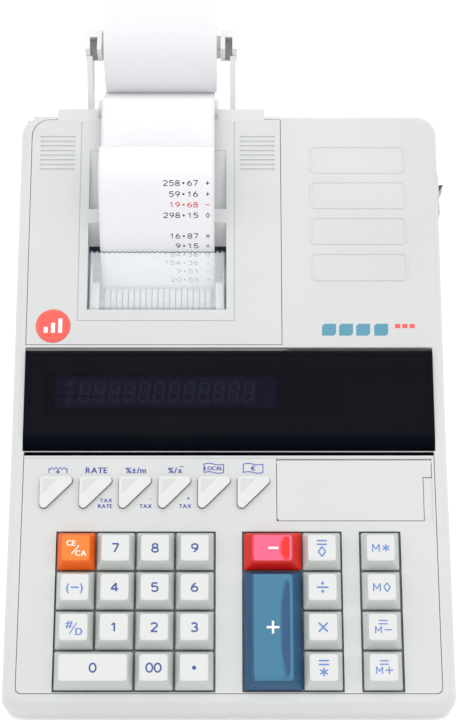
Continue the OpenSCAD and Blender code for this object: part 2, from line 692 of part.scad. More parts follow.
module paper_roll() {
    color("#fbfbfd") placed() difference() {
        bar_x(roll_x - paper_w / 2, roll_x + paper_w / 2, roll_c, roll_d, $fn = 96);
        bar_x(roll_x - paper_w, roll_x + paper_w, roll_c, core_d);
    }
}

// The path of the paper from the roll, over the guide, round the platen and out.
web_t = 0.3;
function spline_point(p, t) =
    0.5 * ((2 * p[1]) + (p[2] - p[0]) * t + (2 * p[0] - 5 * p[1] + 4 * p[2] - p[3]) * t * t
    + (3 * p[1] - p[0] - 3 * p[2] + p[3]) * t * t * t);
function spline(p, n) = [for (i = [1:len(p) - 3]) for (j = [0:n - 1])
    spline_point([p[i - 1], p[i], p[i + 1], p[i + 2]], j / n)];
roll_clear = roll_d / 2 + 0.6;
web_path = concat(
    arc(roll_c, roll_clear, -95, -136, 5),
    arc(guide, guide_r + 0.5, 46, 100, 5),
    spline([[302, 78.2], [291, 77.6], [279, 74.4], [266, 69.6], [255, 64.2], [248, 60.2], [243, 54.5],
        [240, 46]], 3),
    [[240, 46]],
    arc(platen, platen_d / 2 + 0.3, -38, -202, 12),
    spline([[214, 25], [223.6, 46], [226.2, 53.5], [229.5, 60], [235, 67], [241, 74], [247.5, 81],
        [254.5, 86], [262.5, 87.4], [270.7, 84.7], [276, 82]], 3),
    [[270.7, 84.7]]
);
function normal_at(p, i) =
    let (a = p[max(i - 1, 0)], b = p[min(i + 1, len(p) - 1)], d = (b - a) / norm(b - a)) [-d[1], d[0]];

module paper_strip() {
    n = len(web_path);
    side_a = [for (i = [0:n - 1]) web_path[i] + normal_at(web_path, i) * web_t / 2];
    side_b = [for (i = [n - 1:-1:0]) web_path[i] - normal_at(web_path, i) * web_t / 2];
    color("#fdfdff") placed()
        across(printer_x - paper_w / 2, printer_x + paper_w / 2, concat(side_a, side_b));
}

module frame_plate(x, t) difference() {
    across(x, x + t, [[188, 10], [240, 10], [240, 30], [234, 42], [214, 44], [200, 42], [188, 32]]);
    for (c = [platen, wheels]) bar_x(x - 1, x + t + 1, c, shaft_d + 2 * shaft_fit);
    bar_x(x - 1, x + t + 1, ink, 3 + 2 * shaft_fit);
}

module printer_frame() {
    color("#b9bdc1") placed() {
        frame_plate(frame_x0 - plate_t, plate_t);
        frame_plate(frame_x1, plate_t);
        difference() {
            translate([frame_x0 - plate_t, 188, 10]) cube([bracket_x - frame_x0 + 2 * plate_t, 52, 1.4]);
            translate([gear_x - 0.5, motor[0] - 8, 9]) cube([gear_w + 1, 16, 4]);
        }
        difference() {
            translate([bracket_x, 206, 10]) cube([plate_t, 34, 22]);
            bar_x(bracket_x - 1, bracket_x + 4, motor, 6.4);
        }
    }
}

module platen_roller() {
    color("#2b2d30") placed() {
        bar_x(printer_x - roller_half, printer_x + roller_half, platen, platen_d);
        bar_x(frame_x0 - plate_t - 1.5, gear_x + gear_w, platen, shaft_d);
    }
}

// Straight-flanked teeth: angle in pitches and height in modules of the four corners of a tooth.
function gear_outline(teeth, m) = [for (i = [0:teeth - 1])
    for (p = [[-0.27, -1.2], [-0.11, 0.85], [0.11, 0.85], [0.27, -1.2]])
        (teeth * m / 2 + p[1] * m) * [cos(360 * (i + p[0]) / teeth), sin(360 * (i + p[0]) / teeth)]];

module gear_x(c, teeth, turn) translate([gear_x, c[0], c[1]]) rotate([turn, 0, 0]) rotate([90, 0, 90])
    linear_extrude(gear_w) polygon(gear_outline(teeth, gear_module));

module platen_gear() {
    color("#e8e2cf") placed() difference() {
        gear_x(platen, platen_teeth, 0);
        bar_x(gear_x - 1, gear_x + gear_w + 1, platen, shaft_d);
    }
}

module motor_pinion() {
    color("#c9a24a") placed() {
        gear_x(motor, pinion_teeth, 180 / pinion_teeth);
        bar_x(gear_x + gear_w - 0.5, bracket_x + 5, motor, 2);
    }
}

module type_wheels() {
    pitch = (paper_w - 3.6) / type_count;
    color("#8f979b") placed() {
        for (i = [0:type_count - 1])
            translate([(i - type_count / 2) * pitch, 0, 0])
                bar_x(printer_x + 0.3, printer_x + pitch - 0.3, wheels, type_d);
        bar_x(frame_x0 - plate_t - 1.5, frame_x1 + plate_t + 0.4, wheels, shaft_d);
    }
}

module ink_roller() {
    color("#26242c") placed() {
        bar_x(printer_x - paper_w / 2 + 1.5, printer_x + paper_w / 2 - 1.5, ink, ink_d);
        bar_x(frame_x0 - plate_t - 1.5, frame_x1 + plate_t + 0.4, ink, 3);
    }
}

module printer_motor() {
    color("#8d9298") placed() difference() {
        union() {
            bar_x(bracket_x + plate_t, bracket_x + plate_t + motor_l, motor, motor_d);
            bar_x(bracket_x + 0.2, bracket_x + plate_t + 0.1, motor, 6.2);
        }
        bar_x(bracket_x - 1, bracket_x + 6, motor, 2 + 2 * shaft_fit);
    }
}

module main_board() {
    color("#2f6b45") placed() on_panel() {
        difference() {
            translate([-board_half, 10, -12.2]) cube([2 * board_half, 110, 1.6]);
            for (sx = [-1, 1]) translate([sx * screw_x, 38, -20]) cylinder(h = 20, d = 20);
        }
        for (x = [decimal_x, rounding_x]) translate([x - 9, slider_s - 5, -10.7]) cube([18, 10, 1.4]);
    }
}

module dome_mat() {
    color("#d9d4c8") placed() on_panel() difference() {
        union() {
            for (b = WELLS)
                translate([b[0], keys_s0 + 3.2, -10.6]) cube([b[1], 4 * key_pitch - 3, 0.8]);
            translate([button_x0, button_s - 12, -10.6]) cube([5.6 * button_pitch, 10, 0.8]);
            for (k = KEYS) for (p = stems(k))
                translate([p[0], p[1], -10.2]) cylinder(h = 2.6, d1 = 10, d2 = 8.2, $fn = 24);
            for (i = [0:5]) translate([button_x(i) + button_stem[0], button_s + button_stem[1], -10.2])
                cylinder(h = 2.6, d1 = 8.5, d2 = 7, $fn = 24);
        }
        for (k = KEYS) for (p = stems(k)) translate([p[0], p[1], -12]) cylinder(h = 8, d = 6.2, $fn = 24);
        for (i = [0:5]) translate([button_x(i) + button_stem[0], button_s + button_stem[1], -12])
            cylinder(h = 8, d = 5.2, $fn = 24);
    }
}

module transformer() {
    color("#6d6258") placed() translate([36, 222, foot_h + wall + 0.05]) {
        difference() {
            cube([46, 38, 34]);
            for (x = [8, 30]) translate([x, -1, 8]) cube([8, 40, 18]);
        }
        translate([8.5, -3, 8.5]) cube([29, 44, 17]);
    }
}

module mains_inlet() {
    color("#17181a") placed() translate([inlet_x, body_d, inlet_z]) {
        difference() {
            union() {
                translate([-13, 0.05, -8]) cube([26, 1.4, 16]);
                translate([-11, -11, -6]) cube([22, 11.5, 12]);
            }
            translate([-9, -9, -4.6]) cube([18, 12, 9.2]);
        }
        for (x = [-4.3, 4.3]) translate([x, -0.6, 0]) rotate([90, 0, 0]) cylinder(h = 9, d = 2.4);
    }
}

module feet() {
    color("#4a4c50") placed() for (sx = [-1, 1]) for (y = foot_y)
        translate([sx * foot_x, y, 0]) cylinder(h = foot_h + 0.9, d = foot_d);
}

module case_screws() {
    color("#b4b8bc") placed() for (sx = [-1, 1]) for (y = screw_y)
        translate([sx * screw_x, y, 0]) difference() {
            union() {
                translate([0, 0, foot_h + 1]) cylinder(h = 1.95, d = 6);
                translate([0, 0, foot_h + 1]) cylinder(h = 15, d = 3);
            }
            for (a = [0, 90]) rotate([0, 0, a]) translate([-2, -0.4, foot_h]) cube([4, 0.8, 1.9]);
        }
}

for (k = KEYS) key(k);
for (i = [0:5]) button(i);
lower_case();
upper_case();
keyboard_panel();
printer_cover();
tear_window();
display_window();
display_tube();
switch_lid();
slider(decimal_x);  // decimal_slider
slider(rounding_x);  // rounding_slider
power_switch_body();
power_rocker();
roll_holder();
roll_core();
paper_roll();
paper_strip();
printer_frame();
platen_roller();
platen_gear();
type_wheels();
ink_roller();
printer_motor();
motor_pinion();
main_board();
dome_mat();
transformer();
mains_inlet();
feet();
case_screws();
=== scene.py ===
"""Looks of the printing desk calculator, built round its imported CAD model. Metres, +Z up, Y to the rear."""
import math
import random

import bpy
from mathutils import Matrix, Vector


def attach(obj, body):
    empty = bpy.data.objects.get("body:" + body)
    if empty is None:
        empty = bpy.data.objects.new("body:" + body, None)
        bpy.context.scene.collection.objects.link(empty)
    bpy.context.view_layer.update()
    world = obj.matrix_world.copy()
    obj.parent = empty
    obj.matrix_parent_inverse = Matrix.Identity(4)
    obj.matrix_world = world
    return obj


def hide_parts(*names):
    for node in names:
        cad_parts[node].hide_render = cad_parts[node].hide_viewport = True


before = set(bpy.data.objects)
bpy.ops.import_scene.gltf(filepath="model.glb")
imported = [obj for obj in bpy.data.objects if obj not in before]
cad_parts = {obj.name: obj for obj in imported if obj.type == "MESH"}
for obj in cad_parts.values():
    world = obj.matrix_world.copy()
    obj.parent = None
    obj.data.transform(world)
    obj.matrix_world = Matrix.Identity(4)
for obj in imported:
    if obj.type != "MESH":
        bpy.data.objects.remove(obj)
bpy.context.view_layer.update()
scene = bpy.context.scene
MM = 0.001

# ---------------------------------------------------------------- camera, floor and light

ELEVATION = math.radians(64)
camera_data = bpy.data.cameras.new("camera")
camera_data.sensor_fit = "VERTICAL"
camera_data.sensor_height = 36
camera_data.lens = 87.5
camera_data.shift_x = -0.4 / 720
camera_data.clip_start = 0.05
camera = bpy.data.objects.new("camera", camera_data)
camera.location = (0, -0.394247, 0.829507)
camera.rotation_euler = (math.pi / 2 - ELEVATION, 0, 0)
scene.collection.objects.link(camera)
scene.camera = camera
scene.view_settings.view_transform = "Standard"


def new_mesh(name, verts, faces, smooth=True):
    """A new object from points and faces, linked to the scene."""
    mesh = bpy.data.meshes.new(name)
    mesh.from_pydata([tuple(v) for v in verts], [], faces)
    mesh.validate()
    if smooth:
        mesh.polygons.foreach_set("use_smooth", [True] * len(mesh.polygons))
    mesh.update()
    obj = bpy.data.objects.new(name, mesh)
    scene.collection.objects.link(obj)
    return obj


def area_light(name, place, aim, size, power):
    data = bpy.data.lights.new(name, "AREA")
    data.shape = "RECTANGLE"
    data.size, data.size_y = size
    data.energy = power
    obj = bpy.data.objects.new(name, data)
    obj.location = place
    obj.rotation_euler = (Vector(aim) - Vector(place)).to_track_quat("-Z", "Y").to_euler()
    scene.collection.objects.link(obj)


world = bpy.data.worlds.new("studio")
world.use_nodes = True
sky = world.node_tree.nodes
sky_place, sky_split, sky_ramp = (sky.new("ShaderNode" + kind)
                                  for kind in ("TexCoord", "SeparateXYZ", "ValToRGB"))
sky_ramp.color_ramp.elements[0].color = (0.72, 0.72, 0.73, 1)
sky_ramp.color_ramp.elements[1].color = (0.95, 0.95, 0.95, 1)
for a, b in ((sky_place.outputs["Generated"], sky_split.inputs["Vector"]),
             (sky_split.outputs["Z"], sky_ramp.inputs["Fac"]),
             (sky_ramp.outputs["Color"], sky["Background"].inputs["Color"])):
    world.node_tree.links.new(a, b)
sky["Background"].inputs["Strength"].default_value = 1.12
scene.world = world
area_light("rear_light", (0, 1.25, 1.35), (0, 0.02, 0), (1.6, 0.8), 5)
area_light("left_light", (-1.2, 0.0, 1.1), (0, 0, 0), (0.8, 1.4), 3.5)
area_light("right_light", (1.2, 0.0, 1.1), (0, 0, 0), (0.8, 1.4), 3.5)

# ---------------------------------------------------------------- materials


def shader_of(mat):
    return mat.node_tree.nodes["Principled BSDF"]


def lit(mat, light, strength):
    """Gives a material a little light of its own."""
    shader_of(mat).inputs["Emission Color"].default_value = (*light, 1)
    shader_of(mat).inputs["Emission Strength"].default_value = strength
    return mat


def material(name, color, rough=0.5, **sockets):
    """A material with constants on the shader's own sockets; a fourth colour value is its alpha."""
    mat = bpy.data.materials.new(name)
    mat.use_nodes = True
    shader = shader_of(mat)
    shader.inputs["Base Color"].default_value = (*color[:3], 1)
    shader.inputs["Roughness"].default_value = rough
    if len(color) > 3:
        shader.inputs["Alpha"].default_value = color[3]
    for key, value in sockets.items():
        shader.inputs[key.replace("_", " ")].default_value = value
    return mat


def noise(mat, scale, detail=3.0, stretch=None):
    """A noise texture in object space, in cells per metre, optionally stretched."""
    tree = mat.node_tree
    place = tree.nodes.new("ShaderNodeTexCoord")
    node = tree.nodes.new("ShaderNodeTexNoise")
    node.inputs["Scale"].default_value = scale
    node.inputs["Detail"].default_value = detail
    source = place.outputs["Object"]
    if stretch:
        mapping = tree.nodes.new("ShaderNodeMapping")
        mapping.inputs["Scale"].default_value = stretch
        tree.links.new(source, mapping.inputs["Vector"])
        source = mapping.outputs["Vector"]
    tree.links.new(source, node.inputs["Vector"])
    return node.outputs["Fac"]


def add_bump(mat, height, strength, distance):
    tree = mat.node_tree
    bump = tree.nodes.new("ShaderNodeBump")
    bump.inputs["Strength"].default_value = strength
    bump.inputs["Distance"].default_value = distance
    shader = shader_of(mat)
    if shader.inputs["Normal"].links:
        tree.links.new(shader.inputs["Normal"].links[0].from_socket, bump.inputs["Normal"])
    tree.links.new(height, bump.inputs["Height"])
    tree.links.new(bump.outputs["Normal"], shader.inputs["Normal"])


def spread(mat, fac, low, high, socket):
    """Drives one of the shader's sockets from fac, between two numbers or two colours."""
    tree = mat.node_tree
    ramp = tree.nodes.new("ShaderNodeValToRGB")
    ramp.color_ramp.elements[0].position = 0.3
    ramp.color_ramp.elements[1].position = 0.7
    for element, value in zip(ramp.color_ramp.elements, (low, high)):
        element.color = (*value, 1) if hasattr(value, "__len__") else (value, value, value, 1)
    tree.links.new(fac, ramp.inputs["Fac"])
    tree.links.new(ramp.outputs["Color"], shader_of(mat).inputs[socket])


def shades(color, amount):
    return [tuple(min(1, c * (1 + k * amount)) for c in color) for k in (-1, 1)]


def moulded(name, color, rough=0.5, grain=0.25, varied=0.03, coat=0.0):
    """Moulded plastic: fine spark-eroded grain, faint colour drift and uneven sheen."""
    mat = material(name, color, rough)
    shader_of(mat).inputs["Coat Weight"].default_value = coat
    shader_of(mat).inputs["Coat Roughness"].default_value = 0.2
    low, high = shades(color, varied)
    spread(mat, noise(mat, 14, 4), low, high, "Base Color")
    spread(mat, noise(mat, 60, 3), rough - 0.05, rough + 0.06, "Roughness")
    add_bump(mat, noise(mat, 2400, 2), grain, 0.00004)
    return mat


def painted_sheen_on_top(name, side, top, rough, coat, band=None):
    """Glossy coloured cap with a painted sheen: faces that look up are painted paler than the steep sides,
    standing in for the overhead light's reflection.

    With band, the painted reflection stops short of the right-hand part of the dished top, which takes that
    darker colour."""
    mat = moulded(name, side, rough, 0.08, 0.04, coat)
    tree = mat.node_tree
    shader = shader_of(mat)
    plain = shader.inputs["Base Color"].links[0].from_socket
    facing, split, ramp, mix = (tree.nodes.new("ShaderNode" + kind)
                                for kind in ("NewGeometry", "SeparateXYZ", "ValToRGB", "Mix"))
    mix.data_type = "RGBA"
    mix.inputs["B"].default_value = (*top, 1)
    ramp.color_ramp.elements[0].position = 0.80
    ramp.color_ramp.elements[1].position = 0.985
    for a, b in ((facing.outputs["Normal"], split.inputs["Vector"]),
                 (split.outputs["Z"], ramp.inputs["Fac"]),
                 (ramp.outputs["Color"], mix.inputs["Factor"]), (plain, mix.inputs["A"]),
                 (mix.outputs["Result"], shader.inputs["Base Color"])):
        tree.links.new(a, b)
    # painted reflection: where the dished top's normal leans to the right, the paler painted top colour gives
    # way to the darker band colour
    if band:
        across, painted_reflection_across = tree.nodes.new("ShaderNodeMapRange"), tree.nodes.new("ShaderNodeMix")
        painted_reflection_across.data_type = "RGBA"
        painted_reflection_across.inputs["A"].default_value = (*band, 1)
        painted_reflection_across.inputs["B"].default_value = (*top, 1)
        across.inputs["From Min"].default_value = -0.034
        across.inputs["From Max"].default_value = -0.024
        tree.links.new(split.outputs["X"], across.inputs["Value"])
        tree.links.new(across.outputs["Result"], painted_reflection_across.inputs["Factor"])
        tree.links.new(painted_reflection_across.outputs["Result"], mix.inputs["B"])
    return mat


GREY = (0.63, 0.645, 0.64)
M = {
    "case_grey": moulded("case_grey", GREY, 0.52, 0.35),
    "base_grey": moulded("base_grey", (0.62, 0.635, 0.63), 0.55, 0.35),
    # painted sheen: each key's paler top colour stands in for the overhead light's reflection; red and blue
    # also take a darker band where that painted reflection falls off
    "key_grey": painted_sheen_on_top("key_grey", (0.53, 0.565, 0.54), (0.70, 0.71, 0.70), 0.42, 0.0),
    "key_orange": painted_sheen_on_top("key_orange", (0.80, 0.115, 0.0), (0.88, 0.21, 0.02), 0.45, 0.0),
    "key_red": painted_sheen_on_top("key_red", (0.62, 0.004, 0.0), (0.88, 0.12, 0.24), 0.4, 0.1,
                            (0.82, 0.012, 0.003)),
    "key_blue": painted_sheen_on_top("key_blue", (0.006, 0.068, 0.16), (0.04, 0.19, 0.30), 0.4, 0.1,
                             (0.012, 0.075, 0.19)),
    "holder_grey": moulded("holder_grey", (0.80, 0.81, 0.81), 0.45, 0.2),
    "slider_dark": moulded("slider_dark", (0.05, 0.05, 0.06), 0.45, 0.2),
    "rocker_dark": moulded("rocker_dark", (0.008, 0.014, 0.03), 0.25, 0.1, 0.05, 0.3),
    "inlet_black": moulded("inlet_black", (0.02, 0.02, 0.022), 0.45, 0.25),
    "gear_nylon": moulded("gear_nylon", (0.8, 0.77, 0.66), 0.4, 0.1),
    "type_metal": moulded("type_metal", (0.48, 0.51, 0.52), 0.5, 0.2),
    "foot_rubber": moulded("foot_rubber", (0.05, 0.05, 0.055), 0.8, 0.5),
    "platen_rubber": moulded("platen_rubber", (0.025, 0.025, 0.03), 0.7, 0.3),
    "dome_rubber": moulded("dome_rubber", (0.55, 0.52, 0.46), 0.6, 0.1),
    "legend_blue": moulded("legend_blue", (0.045, 0.10, 0.31), 0.5, 0.1, 0.08),
    "legend_pale": moulded("legend_pale", (0.13, 0.24, 0.56), 0.5, 0.1, 0.08),
    "legend_violet": moulded("legend_violet", (0.10, 0.115, 0.43), 0.5, 0.1, 0.08),
    "legend_white": moulded("legend_white", (0.9, 0.9, 0.9), 0.45, 0.1),
    "emblem_coral": moulded("emblem_coral", (0.87, 0.10, 0.075), 0.3, 0.05, 0.03, 0.4),
    "stripe_teal": moulded("stripe_teal", (0.10, 0.31, 0.42), 0.4, 0.1, 0.05),
    "ink_black": moulded("ink_black", (0.035, 0.035, 0.05), 0.8, 0.2, 0.3),
    "ink_red": moulded("ink_red", (0.75, 0.03, 0.05), 0.8, 0.2, 0.15),
}


def metal(name, color, rough, stretch=(1, 40, 1)):
    mat = material(name, color, rough, Metallic=1.0)
    grain = noise(mat, 300, 3, stretch)
    spread(mat, grain, rough - 0.08, rough + 0.1, "Roughness")
    add_bump(mat, grain, 0.15, 0.00005)
    return mat


M["steel"] = metal("steel", (0.55, 0.56, 0.58), 0.35)
M["motor_can"] = metal("motor_can", (0.5, 0.51, 0.53), 0.3)
M["brass"] = metal("brass", (0.78, 0.6, 0.25), 0.3, (1, 1, 1))
M["transformer_iron"] = metal("transformer_iron", (0.16, 0.13, 0.11), 0.5, (120, 1, 1))

M["board"] = moulded("board", (0.03, 0.16, 0.07), 0.3, 0.1, 0.15, 0.4)
M["ink_felt"] = moulded("ink_felt", (0.03, 0.02, 0.04), 0.9, 1.0, 0.3)
M["core_card"] = moulded("core_card", (0.55, 0.43, 0.29), 0.85, 0.6, 0.1)


def paper_material(name, color):
    """Uncoated paper: soft fibres and a very slight mottling, with a faint painted glow of its own that
    brightens it.
    """
    mat = lit(material(name, color, 0.75, Sheen_Weight=0.15), (1, 1, 1), 0.09)
    low, high = shades(color, 0.012)
    spread(mat, noise(mat, 900, 4, (1, 0.3, 0.3)), low, high, "Base Color")
    add_bump(mat, noise(mat, 3000, 3, (0.5, 1, 1)), 0.25, 0.00003)
    return mat


# both papers carry a painted glow from lit()
M["paper"] = paper_material("paper", (0.75, 0.75, 0.78))
# the roll is the same paper as the strip, painted a little darker: painted shade
M["paper_roll"] = paper_material("paper_roll", (0.70, 0.70, 0.725))

M["smoked_window"] = material("smoked_window", (0.0025, 0.0035, 0.0075, 0.78), 0.06,
                              Specular_IOR_Level=0.085)
spread(M["smoked_window"], noise(M["smoked_window"], 40, 3), 0.05, 0.11, "Roughness")
# the rounded front of the window mirrors much less than its flat top
tree = M["smoked_window"].node_tree
facing, split, level = (tree.nodes.new("ShaderNode" + kind)
                        for kind in ("NewGeometry", "SeparateXYZ", "MapRange"))
for socket, value in (("From Min", 0.90), ("From Max", 0.972), ("To Min", 0.012), ("To Max", 0.085)):
    level.inputs[socket].default_value = value
tree.links.new(facing.outputs["Normal"], split.inputs["Vector"])
tree.links.new(split.outputs["Z"], level.inputs["Value"])
tree.links.new(level.outputs["Result"], shader_of(M["smoked_window"]).inputs["Specular IOR Level"])
# painted reflection: the tear window's faint glow of its own stands in for the bright sky it mirrors
M["clear_window"] = lit(material("clear_window", (0.86, 0.90, 0.92, 0.23), 0.08, Coat_Weight=0.3,
                                 Coat_Roughness=0.03), (0.92, 0.97, 1), 0.35)
spread(M["clear_window"], noise(M["clear_window"], 60, 3), 0.06, 0.14, "Roughness")
M["tear_edge"] = moulded("tear_edge", (0.06, 0.13, 0.19), 0.3, 0.1, 0.1, 0.3)
M["guide_white"] = moulded("guide_white", (0.52, 0.55, 0.55), 0.5, 0.2)
M["type_face"] = moulded("type_face", (0.62, 0.64, 0.64), 0.5, 0.2)


def painted_glow(name, color, rough, light):
    """A dark glass or phosphor given painted light of its own, standing in for the light that reaches it
    through the smoked window.
    """
    return lit(moulded(name, color, rough, 0.1, 0.05), light, 1.0)


M["tube_glass"] = moulded("tube_glass", (0.004, 0.004, 0.006), 0.3, 0.0, 0.05)
# painted glow: the tube face, segments and grid give off light of their own so they show through the smoked
# window
M["tube_face"] = painted_glow("tube_face", (0.02, 0.02, 0.03), 0.4, (0.07, 0.045, 0.19))
M["segment"] = painted_glow("segment", (0.3, 0.3, 0.36), 0.5, (0.30, 0.25, 0.70))
M["grid_dark"] = painted_glow("grid_dark", (0.02, 0.02, 0.03), 0.4, (0.11, 0.085, 0.28))

NODE_MATERIAL = {
    "upper_case": "case_grey", "keyboard_panel": "case_grey", "printer_cover": "case_grey",
    "switch_lid": "case_grey", "lower_case": "base_grey", "roll_holder": "holder_grey",
    "power_switch_body": "case_grey", "power_rocker": "rocker_dark", "display_window": "smoked_window",
    "tear_window": "clear_window", "display_tube": "tube_glass", "decimal_slider": "slider_dark",
    "rounding_slider": "slider_dark", "roll_core": "core_card", "paper_roll": "paper_roll",
    "printer_frame": "steel", "case_screws": "steel", "platen_roller": "platen_rubber",
    "platen_gear": "gear_nylon", "type_wheels": "type_metal", "ink_roller": "ink_felt",
    "printer_motor": "motor_can", "motor_pinion": "brass", "main_board": "board", "dome_mat": "dome_rubber",
    "transformer": "transformer_iron", "mains_inlet": "inlet_black", "feet": "foot_rubber",
}


def paint(obj, name):
    obj.data.materials.clear()
    obj.data.materials.append(M[name])


def finish_piece(obj, name, body, slot=None):
    paint(obj, name)
    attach(obj, body)
    return obj


# Width in mm of the softened edges on the mouldings
SOFTEN = {
    "upper_case": 0.35, "keyboard_panel": 0.3, "printer_cover": 0.3, "switch_lid": 0.35, "lower_case": 0.4,
    "roll_holder": 0.7, "power_switch_body": 0.3, "power_rocker": 0.4, "display_window": 0.3,
    "mains_inlet": 0.3, "feet": 0.6, "transformer": 0.4, "main_board": 0.15, "decimal_slider": 0.2,
    "rounding_slider": 0.2, "printer_frame": 0.15,
}
BUTTONS = ["key_paper_feed", "key_rate", "key_markup", "key_average", "key_local", "key_euro"]


def soften(obj, width):
    weld = obj.modifiers.new("weld", "WELD")
    weld.merge_threshold = 0.00003
    bevel = obj.modifiers.new("bevel", "BEVEL")
    bevel.width = width * MM
    bevel.segments = 2
    bevel.limit_method = "ANGLE"
    bevel.angle_limit = math.radians(32)
    bevel.use_clamp_overlap = True
    bevel.miter_outer = "MITER_ARC"
    normals = obj.modifiers.new("normals", "WEIGHTED_NORMAL")
    normals.keep_sharp = True


for node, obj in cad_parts.items():
    if node in NODE_MATERIAL:
        paint(obj, NODE_MATERIAL[node])
    if node in BUTTONS:
        paint(obj, "key_grey")
        soften(obj, 0.12)
    if node in SOFTEN:
        soften(obj, SOFTEN[node])

# ---------------------------------------------------------------- the two sloping decks

HALF_DEPTH = 181.75
KEY_SLOPE, DECK_SLOPE = math.radians(8), math.radians(11)
PANEL_Z0, DECK_Z0 = 22.45, 15.3


def on_plane(slope, z0):
    """From plane coordinates in mm (x across, s up the slope, n out of it) to the shared frame in metres."""
    def place(x, s, n):
        y = s * math.cos(slope) - n * math.sin(slope) - HALF_DEPTH
        z = z0 + s * math.sin(slope) + n * math.cos(slope)
        return Vector((x, y, z)) * MM
    return place


on_panel = on_plane(KEY_SLOPE, PANEL_Z0)
on_deck = on_plane(DECK_SLOPE, DECK_Z0)


def deck_s(y):
    return y / math.cos(DECK_SLOPE)


# ---------------------------------------------------------------- lettering as thin raised shapes

GLYPHS = {}


def glyph(char):
    """A letter of Blender's own font: points with z -0.5 or 0.5, faces, left and right edge."""
    if char not in GLYPHS:
        curve = bpy.data.curves.new("glyph", "FONT")
        curve.body = char
        curve.extrude = 0.5
        curve.resolution_u = 3
        curve.offset = 0.009
        obj = bpy.data.objects.new("glyph", curve)
        scene.collection.objects.link(obj)
        bpy.context.view_layer.update()
        mesh = obj.to_mesh()
        verts = [v.co.copy() for v in mesh.vertices]
        faces = [tuple(p.vertices) for p in mesh.polygons]
        obj.to_mesh_clear()
        bpy.data.objects.remove(obj)
        bpy.data.curves.remove(curve)
        xs = [v.x for v in verts] or [0, 0.3]
        GLYPHS[char] = (verts, faces, min(xs), max(xs))
    return GLYPHS[char]


# how tall a digit of that font is
UNIT = max(v.y for v in glyph("8")[0])


def bow(cx, cy, rx, ry, a0, a1, n=10):
    """Points on part of an ellipse, angles in degrees."""
    return [(cx + rx * math.cos(math.radians(a0 + (a1 - a0) * i / n)),
             cy + ry * math.sin(math.radians(a0 + (a1 - a0) * i / n))) for i in range(n + 1)]


SIX = [bow(0, -0.20, 0.27, 0.28, 0, 360, 16), [(-0.27, -0.18), (-0.24, 0.04), (-0.13, 0.26), (0.10, 0.5)]]
DIGITS = {
    "0": [bow(0, 0, 0.28, 0.5, 0, 360, 20)],
    "1": [[(-0.2, 0.27), (0.05, 0.5)], [(0.05, 0.5), (0.05, -0.5)]],
    "2": [bow(0, 0.23, 0.27, 0.27, 165, -30, 10) + [(-0.27, -0.5)], [(-0.29, -0.5), (0.30, -0.5)]],
    "3": [bow(-0.01, 0.25, 0.24, 0.25, 155, -90), bow(-0.01, -0.24, 0.28, 0.26, 90, -155)],
    "4": [[(0.13, -0.5), (0.13, 0.5)], [(0.13, 0.5), (-0.30, -0.2)], [(-0.34, -0.2), (0.33, -0.2)]],
    "5": [[(0.25, 0.5), (-0.2, 0.5)], [(-0.2, 0.5), (-0.24, 0.03)],
          bow(0, -0.18, 0.29, 0.31, 140, -150, 12)],
    "6": SIX,
    "7": [[(-0.29, 0.5), (0.28, 0.5)], [(0.28, 0.5), (-0.08, -0.5)]],
    "8": [bow(0, 0.26, 0.23, 0.24, 0, 360, 16), bow(0, -0.25, 0.28, 0.25, 0, 360, 16)],
    "9": [[(-px, -py) for px, py in line] for line in SIX],
}


